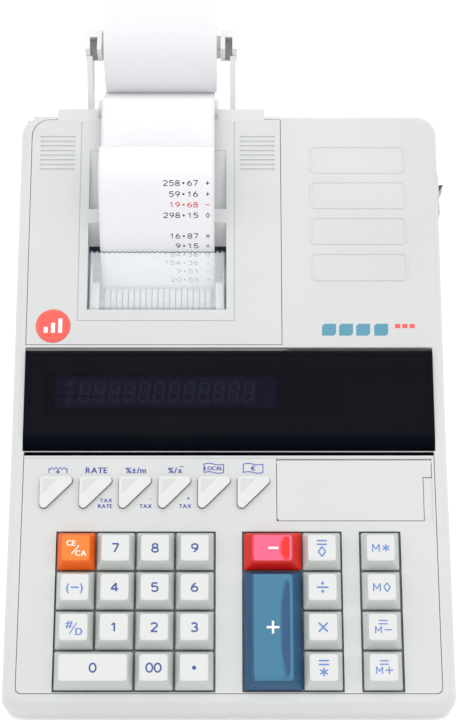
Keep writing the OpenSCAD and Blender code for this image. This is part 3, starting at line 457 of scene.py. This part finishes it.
class Print:
    """Collects flat shapes in plane coordinates and turns them into one thin raised piece."""

    def __init__(self):
        self.verts, self.faces = [], []

    def add(self, verts, faces):
        base = len(self.verts)
        self.verts += verts
        self.faces += [tuple(i + base for i in f) for f in faces]

    def poly(self, points):
        """A filled outline, convex or nearly so."""
        n = len(points)
        area = sum(a[0] * b[1] - b[0] * a[1] for a, b in zip(points, points[1:] + points[:1]))
        if area < 0:
            points = points[::-1]
        low = [Vector((x, y, -0.5)) for x, y in points]
        high = [Vector((x, y, 0.5)) for x, y in points]
        sides = [(i, (i + 1) % n, n + (i + 1) % n, n + i) for i in range(n)]
        self.add(low + high, [tuple(range(n))[::-1], tuple(range(n, 2 * n))] + sides)

    def stroke(self, points, width):
        """A line with mitred corners, drawn as one band."""
        left, right = [], []
        for i, p in enumerate(points):
            a, b = points[max(i - 1, 0)], points[min(i + 1, len(points) - 1)]
            d = Vector((b[0] - a[0], b[1] - a[1])).normalized()
            n = Vector((-d.y, d.x)) * width / 2
            if 0 < i < len(points) - 1:
                e = Vector((b[0] - p[0], b[1] - p[1])).normalized()
                n /= max(0.4, abs(d.dot(e)))
            left.append((p[0] + n.x, p[1] + n.y))
            right.append((p[0] - n.x, p[1] - n.y))
        for i in range(len(points) - 1):
            self.poly([left[i], left[i + 1], right[i + 1], right[i]])

    def ring(self, x, y, rx, ry, width, sides=20):
        points = [(x + rx * math.cos(2 * math.pi * i / sides), y + ry * math.sin(2 * math.pi * i / sides))
                  for i in range(sides + 1)]
        inner = [(x + (rx - width) * math.cos(2 * math.pi * i / sides),
                  y + (ry - width) * math.sin(2 * math.pi * i / sides)) for i in range(sides + 1)]
        for i in range(sides):
            self.poly([points[i], points[i + 1], inner[i + 1], inner[i]])

    def dot(self, x, y, r, sides=16):
        self.poly([(x + r * math.cos(2 * math.pi * i / sides), y + r * math.sin(2 * math.pi * i / sides))
                   for i in range(sides)])

    def digit(self, char, x, y, height, wide, weight):
        """A digit drawn as bands of even weight; wide stretches it sideways."""
        for line in DIGITS[char]:
            self.stroke([(x + px * height * wide, y + py * (height - weight)) for px, py in line], weight)

    def letter_m(self, x, y, height, weight):
        half = 0.40 * height
        self.stroke([(x - half, y - height / 2), (x - half, y + height / 2)], weight)
        self.stroke([(x + half, y - height / 2), (x + half, y + height / 2)], weight)
        self.stroke([(x - half, y + height / 2 - 0.1), (x, y - 0.2 * height)], weight * 0.9)
        self.stroke([(x + half, y + height / 2 - 0.1), (x, y - 0.2 * height)], weight * 0.9)

    def text(self, string, x, y, height, align=0.5, spacing=0.18, bold=0.1):
        """Letters of the given digit height in mm; (x, y) is the middle of the line's height."""
        scale = height / UNIT
        cells, cursor = [], 0.0
        for char in string:
            verts, faces, x0, x1 = glyph(char)
            if char == " ":
                cursor += 0.3 * scale
                continue
            cells.append((verts, faces, x0, cursor))
            cursor += (x1 - x0) * scale + spacing * height
        left = x - align * (cursor - spacing * height)
        for verts, faces, x0, start in cells:
            for shift in (-bold, bold):
                offset = left + start + shift
                self.add([Vector((offset + (v.x - x0) * scale, y - height / 2 + v.y * scale, v.z))
                          for v in verts], faces)

    def build(self, name, place, thick, mat, body, slot=None):
        """place(x, y, n) gives the position; the shapes go from just under the surface to thick above it."""
        verts = [place(v.x, v.y, thick if v.z > 0 else -0.05) for v in self.verts]
        obj = new_mesh(name, verts, self.faces, smooth=False)
        return finish_piece(obj, mat, body, slot)


# ---------------------------------------------------------------- keycaps

PITCH, BASE, KEY_H, SKIRT, STEM = 19.0, 18.0, 5.5, 1.2, 7.0
LEFT_X, MID_X, RIGHT_X, KEYS_S, MARGIN = -83.3, 6.3, 62.6, 7.2, 0.5
WIDE = 1.5 * PITCH
DISH = 0.34


def left_x(i):
    return LEFT_X + MARGIN + PITCH * (i + 0.5)


def row_s(i):
    return KEYS_S + MARGIN + PITCH * (i + 0.5)


WIDE_X = MID_X + 0.45 + WIDE / 2
NARROW_X = MID_X + 0.2 + WIDE + PITCH / 2
LAST_X = RIGHT_X + MARGIN + PITCH / 2
# name, column, row, width and depth in pitches, material
KEYS = [
    ("key_clear", left_x(0), row_s(3), 1, 1, "key_orange"),
    ("key_7", left_x(1), row_s(3), 1, 1, "key_grey"),
    ("key_8", left_x(2), row_s(3), 1, 1, "key_grey"),
    ("key_9", left_x(3), row_s(3), 1, 1, "key_grey"),
    ("key_sign", left_x(0), row_s(2), 1, 1, "key_grey"),
    ("key_4", left_x(1), row_s(2), 1, 1, "key_grey"),
    ("key_5", left_x(2), row_s(2), 1, 1, "key_grey"),
    ("key_6", left_x(3), row_s(2), 1, 1, "key_grey"),
    ("key_item", left_x(0), row_s(1), 1, 1, "key_grey"),
    ("key_1", left_x(1), row_s(1), 1, 1, "key_grey"),
    ("key_2", left_x(2), row_s(1), 1, 1, "key_grey"),
    ("key_3", left_x(3), row_s(1), 1, 1, "key_grey"),
    ("key_0", left_x(0.5), row_s(0), 2, 1, "key_grey"),
    ("key_00", left_x(2), row_s(0), 1, 1, "key_grey"),
    ("key_point", left_x(3), row_s(0), 1, 1, "key_grey"),
    ("key_minus", WIDE_X, row_s(3), 1.5, 1, "key_red"),
    ("key_plus", WIDE_X, row_s(1), 1.5, 3, "key_blue"),
    ("key_subtotal", NARROW_X, row_s(3), 1, 1, "key_grey"),
    ("key_divide", NARROW_X, row_s(2), 1, 1, "key_grey"),
    ("key_multiply", NARROW_X, row_s(1), 1, 1, "key_grey"),
    ("key_total", NARROW_X, row_s(0), 1, 1, "key_grey"),
    ("key_mem_total", LAST_X, row_s(3), 1, 1, "key_grey"),
    ("key_mem_subtotal", LAST_X, row_s(2), 1, 1, "key_grey"),
    ("key_mem_minus", LAST_X, row_s(1), 1, 1, "key_grey"),
    ("key_mem_plus", LAST_X, row_s(0), 1, 1, "key_grey"),
]


def ring(x0, x1, y0, y1, r, side=6, corner=5):
    """A rounded rectangle with the same number of points whatever its size, starting at the front left."""
    points = []
    for cx, cy, a0 in ((x0 + r, y0 + r, 180), (x1 - r, y0 + r, 270),
                       (x1 - r, y1 - r, 0), (x0 + r, y1 - r, 90)):
        points += [(cx + r * math.cos(math.radians(a0 + 90 * i / corner)),
                    cy + r * math.sin(math.radians(a0 + 90 * i / corner))) for i in range(corner + 1)]
    full, step = [], corner + 1
    for c in range(4):
        part = points[c * step:(c + 1) * step]
        a, b = part[-1], points[((c + 1) * step) % len(points)]
        full += part
        full += [(a[0] + (b[0] - a[0]) * i / side, a[1] + (b[1] - a[1]) * i / side) for i in range(1, side)]
    return full


def keycap(name, cx, cs, w, d, mat):
    """A hollow moulded cap: upright skirt, sloping sides, soft top edge, top dished from side to side."""
    hx, hy = (w * PITCH - (PITCH - BASE)) / 2, (d * PITCH - (PITCH - BASE)) / 2
    in_left, in_right = (3.4, 4.4) if w == 1.5 else (2.3, 2.3)
    top = (in_left - hx, hx - in_right, 3.5 - hy, hy - 1.8)
    mid_x, half_x = (top[0] + top[1]) / 2, (top[1] - top[0]) / 2
    mid_y, half_y = (top[2] + top[3]) / 2, (top[3] - top[2]) / 2

    def dish(x, y):
        # the dish is shallower towards the rear and front edges, and its sides are the highest lines
        part = (x - mid_x) / half_x
        across = max(0.0, 1 - part ** 2) if w < 1.9 else max(0.0, 1 - part ** 4)
        along = 1 - 0.35 * abs((y - mid_y) / half_y) ** 2
        return DISH * across * along

    def side(t, grow):
        """The outline a share t of the way up the sloping sides, moved outwards by grow."""
        base = (-hx, hx, -hy, hy)
        box = [a + (b - a) * t for a, b in zip(base, top)]
        return (box[0] - grow, box[1] + grow, box[2] - grow, box[3] + grow, 0.8 + 0.6 * t)

    rings = []
    rings.append([(x, y, -SKIRT) for x, y in ring(*side(0, -0.12))])
    rings.append([(x, y, -SKIRT + 0.12) for x, y in ring(*side(0, 0))])
    rings.append([(x, y, 0.7) for x, y in ring(*side(0, 0))])
    for t, grow in ((0.04, 0.02), (0.3, 0.0), (0.62, -0.05), (0.88, -0.02)):
        rings.append([(x, y, 0.8 + (KEY_H - 0.8) * t) for x, y in ring(*side(t, grow))])
    x0, x1, y0, y1, r = side(1, 0)
    for inset, drop in ((0.0, 0.22), (0.08, 0.08), (0.22, 0.015)):
        edge = ring(x0 + inset, x1 - inset, y0 + inset, y1 - inset, max(0.5, r - inset))
        rings.append([(x, y, KEY_H - drop - dish(x, y)) for x, y in edge])
    inner = ring(x0 + 0.22, x1 - 0.22, y0 + 0.22, y1 - 0.22, r - 0.22)
    for t in (0.86, 0.68, 0.5, 0.32, 0.14):
        shrunk = [(mid_x + (x - mid_x) * t, mid_y + (y - mid_y) * t) for x, y in inner]
        rings.append([(x, y, KEY_H - dish(x, y)) for x, y in shrunk])
    hollow = []
    for inset, z in ((1.1, -SKIRT), (1.3, -SKIRT + 0.1)):
        hollow.append([(x, y, z) for x, y in ring(inset - hx, hx - inset, inset - hy, hy - inset, 0.5)])
    hollow.append([(x, y, KEY_H - 1.7) for x, y in
                   ring(in_left + 1 - hx, hx - in_right - 1, 4.4 - hy, hy - 2.8, 0.5)])
    count = len(inner)
    rings = hollow[::-1] + rings
    verts = [on_panel(cx + x, cs + y, z) for loop in rings for x, y, z in loop]
    faces = []
    for k in range(len(rings) - 1):
        for i in range(count):
            j = (i + 1) % count
            faces.append((k * count + i, k * count + j, (k + 1) * count + j, (k + 1) * count + i))
    faces.append(tuple(range(count))[::-1])
    last = (len(rings) - 1) * count
    centre = len(verts)
    verts.append(on_panel(cx + mid_x, cs + mid_y, KEY_H - dish(mid_x, mid_y)))
    faces += [(last + i, last + (i + 1) % count, centre) for i in range(count)]
    # stems under the cap
    stems = [(0, 0)]
    if d > 1:
        stems = [(0, -PITCH), (0, PITCH)]
    elif w > 1.6:
        stems = [(-PITCH / 2, 0), (PITCH / 2, 0)]
    for sx, sy in stems:
        base = len(verts)
        n = 20
        for z in (-STEM, -STEM + 0.3, KEY_H - 1.9):
            r = 2.2 if z == -STEM else 2.5
            turns = [2 * math.pi * i / n for i in range(n)]
            verts += [on_panel(cx + sx + r * math.cos(t), cs + sy + r * math.sin(t), z) for t in turns]
        for k in range(2):
            for i in range(n):
                j = (i + 1) % n
                low, high = base + k * n, base + (k + 1) * n
                faces.append((low + i, low + j, high + j, high + i))
        faces += [tuple(base + i for i in range(n))[::-1], tuple(base + 2 * n + i for i in range(n))]
    obj = new_mesh(name + "_moulded", verts, faces)
    finish_piece(obj, mat, name + "_cap", mat)
    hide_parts(name)

    def top_place(x, y, n):
        return on_panel(cx + x, cs + mid_y + y, KEY_H - dish(x, mid_y + y) + n)
    return top_place


# what is printed on the caps and on the tape, drawn on a Print
def diamond(p, x, y, r, width):
    p.stroke([(x, y + r), (x + r * 0.72, y)], width)
    p.stroke([(x + r * 0.72, y), (x, y - r)], width)
    p.stroke([(x, y - r), (x - r * 0.72, y)], width)
    p.stroke([(x - r * 0.72, y), (x, y + r)], width)


def star(p, x, y, r, width):
    for a in (90, 30, -30):
        dx, dy = r * math.cos(math.radians(a)), r * math.sin(math.radians(a))
        p.stroke([(x - dx, y - dy), (x + dx, y + dy)], width)


def bars(p, x, y, length, gap, width):
    for s in (-1, 1):
        p.stroke([(x - length / 2, y + s * gap / 2), (x + length / 2, y + s * gap / 2)], width)


def legend(p, name):
    thin, bold = 0.5, 0.72
    if name[4:].isdigit():
        digits = name[4:]
        for i, char in enumerate(digits):
            p.digit(char, (i - (len(digits) - 1) / 2) * 3.9, 0, 4.8, 1.12, 0.8)
    elif name == "key_point":
        p.dot(0, 0, 1.0)
    elif name == "key_clear":
        p.text("CE", -2.3, 2.4, 2.6, spacing=0.14)
        p.stroke([(-1.9, -2.9), (1.7, 1.3)], thin)
        p.text("CA", 2.5, -2.5, 2.6, spacing=0.14)
    elif name == "key_sign":
        p.text("(", -3.2, 0, 3.6)
        p.text(")", 3.2, 0, 3.6)
        p.stroke([(-1.9, 0), (1.9, 0)], bold)
    elif name == "key_item":
        p.text("#", -2.1, 1.6, 3.6)
        p.stroke([(-1.8, -3.1), (1.4, 2.0)], thin)
        p.text("D", 2.6, -2.0, 3.4)
    elif name == "key_minus":
        p.stroke([(-2.1, 0), (2.7, 0)], 1.05)
    elif name == "key_plus":
        p.stroke([(-3.2, 0), (2.8, 0)], 1.05)
        p.stroke([(-0.2, -3.0), (-0.2, 3.0)], 1.05)
    elif name == "key_subtotal":
        bars(p, 0, 2.6, 4.8, 1.8, bold)
        diamond(p, 0, -1.8, 2.4, bold)
    elif name == "key_total":
        bars(p, 0, 2.4, 4.8, 1.8, bold)
        star(p, 0, -2.0, 2.1, bold)
    elif name == "key_divide":
        p.stroke([(-2.8, 0), (2.8, 0)], 0.8)
        p.dot(0, 1.95, 0.72)
        p.dot(0, -1.95, 0.72)
    elif name == "key_multiply":
        for s in (-1, 1):
            p.stroke([(-2.1, -2.1 * s), (2.1, 2.1 * s)], 0.85)
    elif name == "key_mem_total":
        p.letter_m(-2.3, 0, 3.9, 0.6)
        star(p, 2.5, 0, 1.95, 0.62)
    elif name == "key_mem_subtotal":
        p.letter_m(-2.3, 0, 3.9, 0.6)
        diamond(p, 2.5, 0, 2.1, 0.62)
    else:
        p.letter_m(-2.1, -1.2, 3.4, 0.56)
        p.stroke([(0.7, -1.2), (4.2, -1.2)], 0.62)
        if name == "key_mem_plus":
            p.stroke([(2.45, -2.95), (2.45, 0.55)], 0.62)
        bars(p, 0.2, 2.4, 4.2, 1.6, 0.58)


for name, cx, cs, w, d, mat in KEYS:
    top_place = keycap(name, cx, cs, w, d, mat)
    mark = Print()
    legend(mark, name)
    ink = "legend_pale"
    if mat != "key_grey":
        ink = "legend_white"
    elif name[4:].isdigit() or name == "key_point":
        ink = "legend_blue"
    mark.build(name + "_legend", top_place, 0.03, ink, name + "_cap", mat)

# ---------------------------------------------------------------- printing on the keyboard panel

BUTTON_X, BUTTON_PITCH, BUTTON_S = -91.8, 19.2, 111.2
LABEL_S = BUTTON_S + 3.9
label = Print()
ICON = 0.5
x = BUTTON_X + 8.4
zig = [(x - 4.4, LABEL_S + 0.4)]
for i in range(9):
    zig.append((x - 4.4 + 8.8 * (i + 0.5) / 9, LABEL_S + (1.0 if i % 2 else -0.2)))
zig.append((x + 4.4, LABEL_S + 0.4))
for a, b in zip(zig, zig[1:]):
    label.stroke([a, b], 0.42)
for px in (x - 4.4, x + 4.4):
    label.stroke([(px, LABEL_S + 0.5), (px, LABEL_S - 1.9)], ICON)
label.dot(x, LABEL_S - 1.3, 0.8)
for i, word in ((1, "RATE"), (2, "%±/m"), (3, "%/x")):
    label.text(word, BUTTON_X + BUTTON_PITCH * i + 8.0, LABEL_S - 0.5, 2.9, spacing=0.13, bold=0.12)
label.stroke([(BUTTON_X + BUTTON_PITCH * 3 + 10.0, LABEL_S + 1.3),
              (BUTTON_X + BUTTON_PITCH * 3 + 12.2, LABEL_S + 1.3)], 0.42)
for i, word in ((4, "LOCAL"), (5, "€")):
    x = BUTTON_X + BUTTON_PITCH * i + 7.6
    wave = [(x - 4.8 + 9.6 * k / 8, 0.5 + 0.4 * math.sin(2 * math.pi * k / 8)) for k in range(9)]
    label.stroke([(px, LABEL_S + 2.1 + dy) for px, dy in wave], ICON)
    label.stroke([(px, LABEL_S - 2.1 + dy) for px, dy in wave], ICON)
    for px in (x - 4.8, x + 4.8):
        label.stroke([(px, LABEL_S - 1.6), (px, LABEL_S + 2.6)], ICON)
    label.text(word, x, LABEL_S + 0.5, 1.9 if i == 4 else 2.4, spacing=0.12, bold=0.12)
for i, words in ((1, ("TAX", "RATE")), (2, ("-", "TAX")), (3, ("+", "TAX"))):
    x = BUTTON_X + BUTTON_PITCH * i + 16.0
    for k, word in enumerate(words):
        raised = 0.0 if len(word) > 1 else 1.1
        label.text(word, x, BUTTON_S - 11.7 - 2.8 * k + raised, 1.9, align=1.0 if len(word) > 1 else 1.6,
                   spacing=0.12, bold=0.11)
label.build("panel_labels", on_panel, 0.03, "legend_violet", "case", "case_grey")

# ---------------------------------------------------------------- emblem and stripe on the rear deck

EMBLEM = (-87.8, deck_s(185.9))
verts, faces, n = [], [], 48
for r, z in ((8.65, -0.3), (8.65, 0.12), (8.45, 0.26), (6.0, 0.30), (0.01, 0.32)):
    turns = [2 * math.pi * i / n for i in range(n)]
    verts += [on_deck(EMBLEM[0] + r * math.cos(t), EMBLEM[1] + r * math.sin(t), z) for t in turns]
for k in range(4):
    for i in range(n):
        j = (i + 1) % n
        faces.append((k * n + i, k * n + j, (k + 1) * n + j, (k + 1) * n + i))
faces += [tuple(range(n))[::-1], tuple(range(4 * n, 5 * n))]
finish_piece(new_mesh("emblem_disc", verts, faces), "emblem_coral", "case", "case_grey")
mark = Print()
for i in range(3):
    h = 3.0 + 2.2 * i
    x = EMBLEM[0] - 3.6 + 3.6 * i
    s0 = EMBLEM[1] - 3.6
    mark.poly([(x - 1.0, s0), (x + 1.0, s0), (x + 1.0, s0 + h), (x - 1.0, s0 + h)])
mark.build("emblem_mark", lambda x, y, n: on_deck(x, y, 0.31 + n), 0.04, "legend_white", "case",
           "case_grey")
stripe = Print()
for x0, x1 in ((46.5, 53.5), (55.0, 62.0), (63.5, 70.5), (72.5, 79.5)):
    s0 = deck_s(184) - 3.1
    stripe.poly([(x0, s0), (x1 - 1.2, s0), (x1, s0 + 1.2), (x1, s0 + 6.2), (x0 + 1.2, s0 + 6.2),
                 (x0, s0 + 5.0)])
stripe.build("deck_stripe", on_deck, 0.03, "stripe_teal", "case", "case_grey")
stripe = Print()
for i in range(3):
    x = 83.0 + 3.6 * i
    s0, s1 = deck_s(184) + 0.8, deck_s(184) + 3.0
    stripe.poly([(x, s0), (x + 2.6, s0), (x + 2.6, s1), (x, s1)])
stripe.build("deck_stripe_small", on_deck, 0.03, "emblem_coral", "case", "case_grey")

# ---------------------------------------------------------------- fluorescent display

TUBE_TILT = math.radians(11.7)
TUBE_Y, TUBE_Z, TUBE_R = 154, 39.4, 4.2


def on_tube(x, s, n):
    y = TUBE_Y + s * math.cos(TUBE_TILT) - (TUBE_R + n) * math.sin(TUBE_TILT) - HALF_DEPTH
    z = TUBE_Z + s * math.sin(TUBE_TILT) + (TUBE_R + n) * math.cos(TUBE_TILT)
    return Vector((x, y, z)) * MM


DIGIT_COUNT, FIRST_DIGIT_X = 12, -71.6
DIGIT_PITCH, DIGIT_W, DIGIT_H, LEAN = 7.4, 4.3, 9.6, 0.14
digits = Print()
for k in range(DIGIT_COUNT):
    cx = FIRST_DIGIT_X + DIGIT_PITCH * k

    def seg(x0, y0, x1, y1):
        digits.stroke([(cx + x0 + LEAN * y0, y0), (cx + x1 + LEAN * y1, y1)], 0.8)
    hw, hh = DIGIT_W / 2, DIGIT_H / 2
    for y in (-hh, 0, hh):
        seg(-hw + 0.6, y, hw - 0.6, y)
    for sx in (-hw, hw):
        for y in (-hh, 0):
            seg(sx, y + 0.6, sx, y + hh - 0.6)
    digits.dot(cx + hw + 1.35 - LEAN * hh, -hh, 0.45)
digits.letter_m(-78.8, 4.2, 2.4, 0.5)
digits.stroke([(-80.2, 0), (-77.6, 0)], 0.7)
digits.text("E", -79.0, -4.2, 2.6)
digits.build("display_segments", on_tube, 0.06, "segment", "case", "tube_glass")
face = Print()
face.poly([(-86.0, -7.9), (23.6, -7.9), (23.6, 7.9), (-86.0, 7.9)])
face.build("display_face", on_tube, 0.01, "tube_face", "case", "tube_glass")
grid = Print()
for k in range(DIGIT_COUNT):
    cx = FIRST_DIGIT_X + DIGIT_PITCH * k
    grid.poly([(cx - 3.4, -6.2), (cx + 3.2, -6.2), (cx + 4.0, 6.2), (cx - 2.6, 6.2)])
grid.poly([(-81.5, -6.2), (-76.2, -6.2), (-76.2, 6.2), (-81.5, 6.2)])
grid.dot(19.6, -2.5, 2.6, 24)
grid.build("display_grid", on_tube, 0.03, "grid_dark", "case", "tube_glass")

# ---------------------------------------------------------------- type faces on the wheels

axis_y, axis_z = 208.5 - HALF_DEPTH, 31.0
TYPE_R, TYPE_PITCH, PRINTER_X = 8.5, 3.02, -36.3
WHEELS, TYPES = 18, 14
verts, faces = [], []
random.seed(7)
for k in range(WHEELS):
    cx = PRINTER_X + (k - 8.5) * TYPE_PITCH
    for j in range(TYPES):
        a = 2 * math.pi * j / TYPES
        u, v = Vector((0, math.cos(a), math.sin(a))), Vector((0, -math.sin(a), math.cos(a)))
        base = len(verts)
        wide = 0.75 + 0.25 * random.random()
        for r, wx, wy in ((TYPE_R - 0.9, wide + 0.15, 1.05), (TYPE_R - 0.02, wide, 0.85)):
            for sx, sy in ((-1, -1), (1, -1), (1, 1), (-1, 1)):
                p = Vector((cx + sx * wx, axis_y, axis_z)) + u * r + v * sy * wy
                verts.append(p * MM)
        faces += [(base, base + 3, base + 2, base + 1), (base + 4, base + 5, base + 6, base + 7)]
        faces += [(base + i, base + (i + 1) % 4, base + 4 + (i + 1) % 4, base + 4 + i) for i in range(4)]
finish_piece(new_mesh("type_faces", verts, faces, smooth=False), "type_face", "wheels", "type_metal")

# ---------------------------------------------------------------- tear edge and paper guides

WINDOW_Y0, WINDOW_Z0, WINDOW_Y1, WINDOW_Z1 = 195.2, 51.4, 226.2, 56.4
TEAR_RUN = math.dist((WINDOW_Y0, WINDOW_Z0), (WINDOW_Y1, WINDOW_Z1))
TEAR_TILT = math.atan2(WINDOW_Z1 - WINDOW_Z0, WINDOW_Y1 - WINDOW_Y0)
TEAR_HALF, TEAR_TEETH = 34.3, 27


def on_window(x, s, n):
    y = WINDOW_Y0 + s * math.cos(TEAR_TILT) - n * math.sin(TEAR_TILT) - HALF_DEPTH
    z = WINDOW_Z0 + s * math.sin(TEAR_TILT) + n * math.cos(TEAR_TILT)
    return Vector((PRINTER_X + x, y, z)) * MM


rim = Print()
steps = 2 * TEAR_TEETH
teeth = [(-TEAR_HALF + TEAR_HALF * 2 * i / steps, TEAR_RUN - 0.45 - (0.0 if i % 2 else 0.75))
         for i in range(steps + 1)]
for a, b in zip(teeth, teeth[1:]):
    rim.stroke([a, b], 0.5)
for side in (-1, 1):
    rim.stroke([(side * (TEAR_HALF - 0.35), 0.8), (side * (TEAR_HALF - 0.35), TEAR_RUN - 1.0)], 0.42)
rim.build("tear_edge_rim", on_window, 0.05, "tear_edge", "case", "clear_window")

for side in (-1, 1):
    x0, x1 = sorted((side * 34.0, side * 29.6))
    verts = []
    outline = [(190.5, 44.3), (190.5, 45.6), (192.0, 46.3), (208.0, 46.3), (213.5, 45.2), (214.6, 44.3)]
    for x in (x0, x1):
        for y, z in outline:
            verts.append(Vector((PRINTER_X + x, y - HALF_DEPTH, z)) * MM)
    n = len(outline)
    faces = [tuple(range(n)), tuple(range(2 * n - 1, n - 1, -1))]
    faces += [(i, n + i, n + (i + 1) % n, (i + 1) % n) for i in range(n)]
    ear = new_mesh("paper_guide_" + ("left" if side < 0 else "right"), verts, faces, smooth=False)
    soften(ear, 0.3)
    finish_piece(ear, "guide_white", "case", "case_grey")

# ---------------------------------------------------------------- paper: the strip and what is printed on it

ROLL, PLATEN, ROD = (340, 73), (224.5, 31.5), (300.8, 72.7)
PAPER_W, ROLL_R = 58.0, 23.5


def arc(c, r, a0, a1, n):
    return [(c[0] + r * math.cos(math.radians(a0 + (a1 - a0) * i / n)),
             c[1] + r * math.sin(math.radians(a0 + (a1 - a0) * i / n))) for i in range(n + 1)]


def spline(p, n):
    out = []
    for i in range(1, len(p) - 2):
        for j in range(n):
            t = j / n
            out.append(tuple(
                0.5 * (2 * p[i][k] + (p[i + 1][k] - p[i - 1][k]) * t
                       + (2 * p[i - 1][k] - 5 * p[i][k] + 4 * p[i + 1][k] - p[i + 2][k]) * t * t
                       + (3 * p[i][k] - p[i - 1][k] - 3 * p[i + 1][k] + p[i + 2][k]) * t ** 3)
                for k in (0, 1)))
    return out


# the free end, from the torn edge down to the platen, then round it and back to the roll
FREE = [(276, 82), (270.7, 84.7), (262.5, 87.4), (254.5, 86), (247.5, 81), (241, 74), (235, 67),
        (229.5, 60), (226.2, 53.5), (223.6, 46), (214, 25)]
BACK = [(240, 46), (240, 46), (243, 54.5), (248, 60.2), (255, 64.2), (266, 69.6), (279, 74.4), (291, 77.6),
        (302, 78.2)]
path = spline(FREE, 10) + [FREE[-2]]
path += arc(PLATEN, 6.3, 158, 322, 24)
path += spline(BACK, 8) + arc(ROD, 5.3, 100, 46, 10) + arc(ROLL, ROLL_R + 0.6, -136, -95, 10)
path = [Vector((y - HALF_DEPTH, z)) for y, z in path]
clean = [path[0]]
for p in path[1:]:
    if (p - clean[-1]).length > 0.05:
        clean.append(p)
path = clean
runs = [0.0]
for a, b in zip(path, path[1:]):
    runs.append(runs[-1] + (b - a).length)
LENGTH = runs[-1]


def along(d):
    """Point and normal of the paper a distance d from the torn edge; the normal faces the print side."""
    for i in range(len(runs) - 1):
        if d <= runs[i + 1] or i == len(runs) - 2:
            t = (d - runs[i]) / (runs[i + 1] - runs[i])
            p = path[i].lerp(path[i + 1], t)
            a = (path[i + 1] - path[max(i - 1, 0)]).normalized()
            b = (path[min(i + 2, len(path) - 1)] - path[i]).normalized()
            d2 = a.lerp(b, t).normalized()
            return p, Vector((d2.y, -d2.x))


PAPER_T = 0.12


def on_paper(x, d, n):
    p, normal = along(max(0.0, d))
    q = p + normal * (PAPER_T / 2 + n)
    return Vector((x, q.x, q.y)) * MM


random.seed(21)
COLS, ROWS = 20, 150
edge = [0.0] * (COLS + 1)
for i in range(COLS + 1):
    edge[i] = 0.25 * random.random() if i % 2 else 0.0
verts, faces = [], []
for side in (0, 1):
    for r in range(ROWS + 1):
        for c in range(COLS + 1):
            d = edge[c] * max(0, 1 - r / 3) + (LENGTH - 0.01) * r / ROWS
            x = PRINTER_X + PAPER_W * (c / COLS - 0.5) * 0.999
            # a slight cross curl near the torn end
            lift = -0.25 * math.exp(-d / 14) * (2 * c / COLS - 1) ** 2
            verts.append(on_paper(x, d, lift - (PAPER_T if side else 0)))
width = COLS + 1
back = (ROWS + 1) * width
for r in range(ROWS):
    for c in range(COLS):
        a = r * width + c
        faces.append((a, a + width, a + width + 1, a + 1))
        faces.append((back + a, back + a + 1, back + a + width + 1, back + a + width))
    for c in (0, COLS):
        a = r * width + c
        quad = (a, back + a, back + a + width, a + width)
        faces.append(quad if c == 0 else quad[::-1])
for r in (0, ROWS):
    for c in range(COLS):
        a = r * width + c
        quad = (a, a + 1, back + a + 1, back + a)
        faces.append(quad if r == 0 else quad[::-1])
strip = new_mesh("printed_paper", verts, faces)
finish_piece(strip, "paper", "case", "paper")
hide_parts("paper_strip")

FIRST_ROW, ROW_PITCH, CHAR_H = 22.4, 5.55, 2.95
LINES = [("258.67", "+"), ("59.16", "+"), ("19.68", "-"), ("298.15", "o"), ("", ""), ("16.87", "x"),
         ("9.15", "="), ("154.36", "o"), ("154.36", ":"), ("7.51", "-"), ("20.55", "+")]
RED_ROW = 2
pieces = {"ink_black": Print(), "ink_red": Print()}


for row, (number, sign) in enumerate(LINES):
    d = -(FIRST_ROW + ROW_PITCH * row)
    p = pieces["ink_red" if row == RED_ROW else "ink_black"]
    for k, char in enumerate(number):
        x = PRINTER_X + (15 - (len(number) - 1 - k) - 8.5) * TYPE_PITCH
        if char == ".":
            p.dot(x, d, 0.56, 12)
        else:
            p.digit(char, x, d, CHAR_H, 1.28, 0.42)
    x = PRINTER_X + (17 - 8.5) * TYPE_PITCH
    if sign == "=":
        bars(p, x, d, 1.9, 1.0, 0.4)
    elif sign in ("+", "-"):
        p.stroke([(x - 0.95, d), (x + 0.95, d)], 0.42)
        if sign == "+":
            p.stroke([(x, d - 0.95), (x, d + 0.95)], 0.42)
    elif sign == "o":
        diamond(p, x, d, 1.25, 0.38)
    elif sign == "x":
        for s in (-1, 1):
            p.stroke([(x - 0.85, d - 0.85 * s), (x + 0.85, d + 0.85 * s)], 0.42)
    elif sign == ":":
        p.dot(x, d + 0.6, 0.34, 10)
        p.dot(x, d - 0.6, 0.34, 10)
prints = [p.build("tape_" + ink, lambda x, y, n: on_paper(x, -y, n), 0.02, ink, "case", "paper")
          for ink, p in pieces.items()]

# ---------------------------------------------------------------- floor

floor = new_mesh("floor", [(-4, -4, 0), (4, -4, 0), (4, 4, 0), (-4, 4, 0)], [(0, 1, 2, 3)], smooth=False)
floor.location.z = -0.0002
M["floor"] = lit(material("floor", (0.98, 0.98, 0.98), 0.9), (1, 1, 1), 0.10)
floor.data.materials.append(M["floor"])
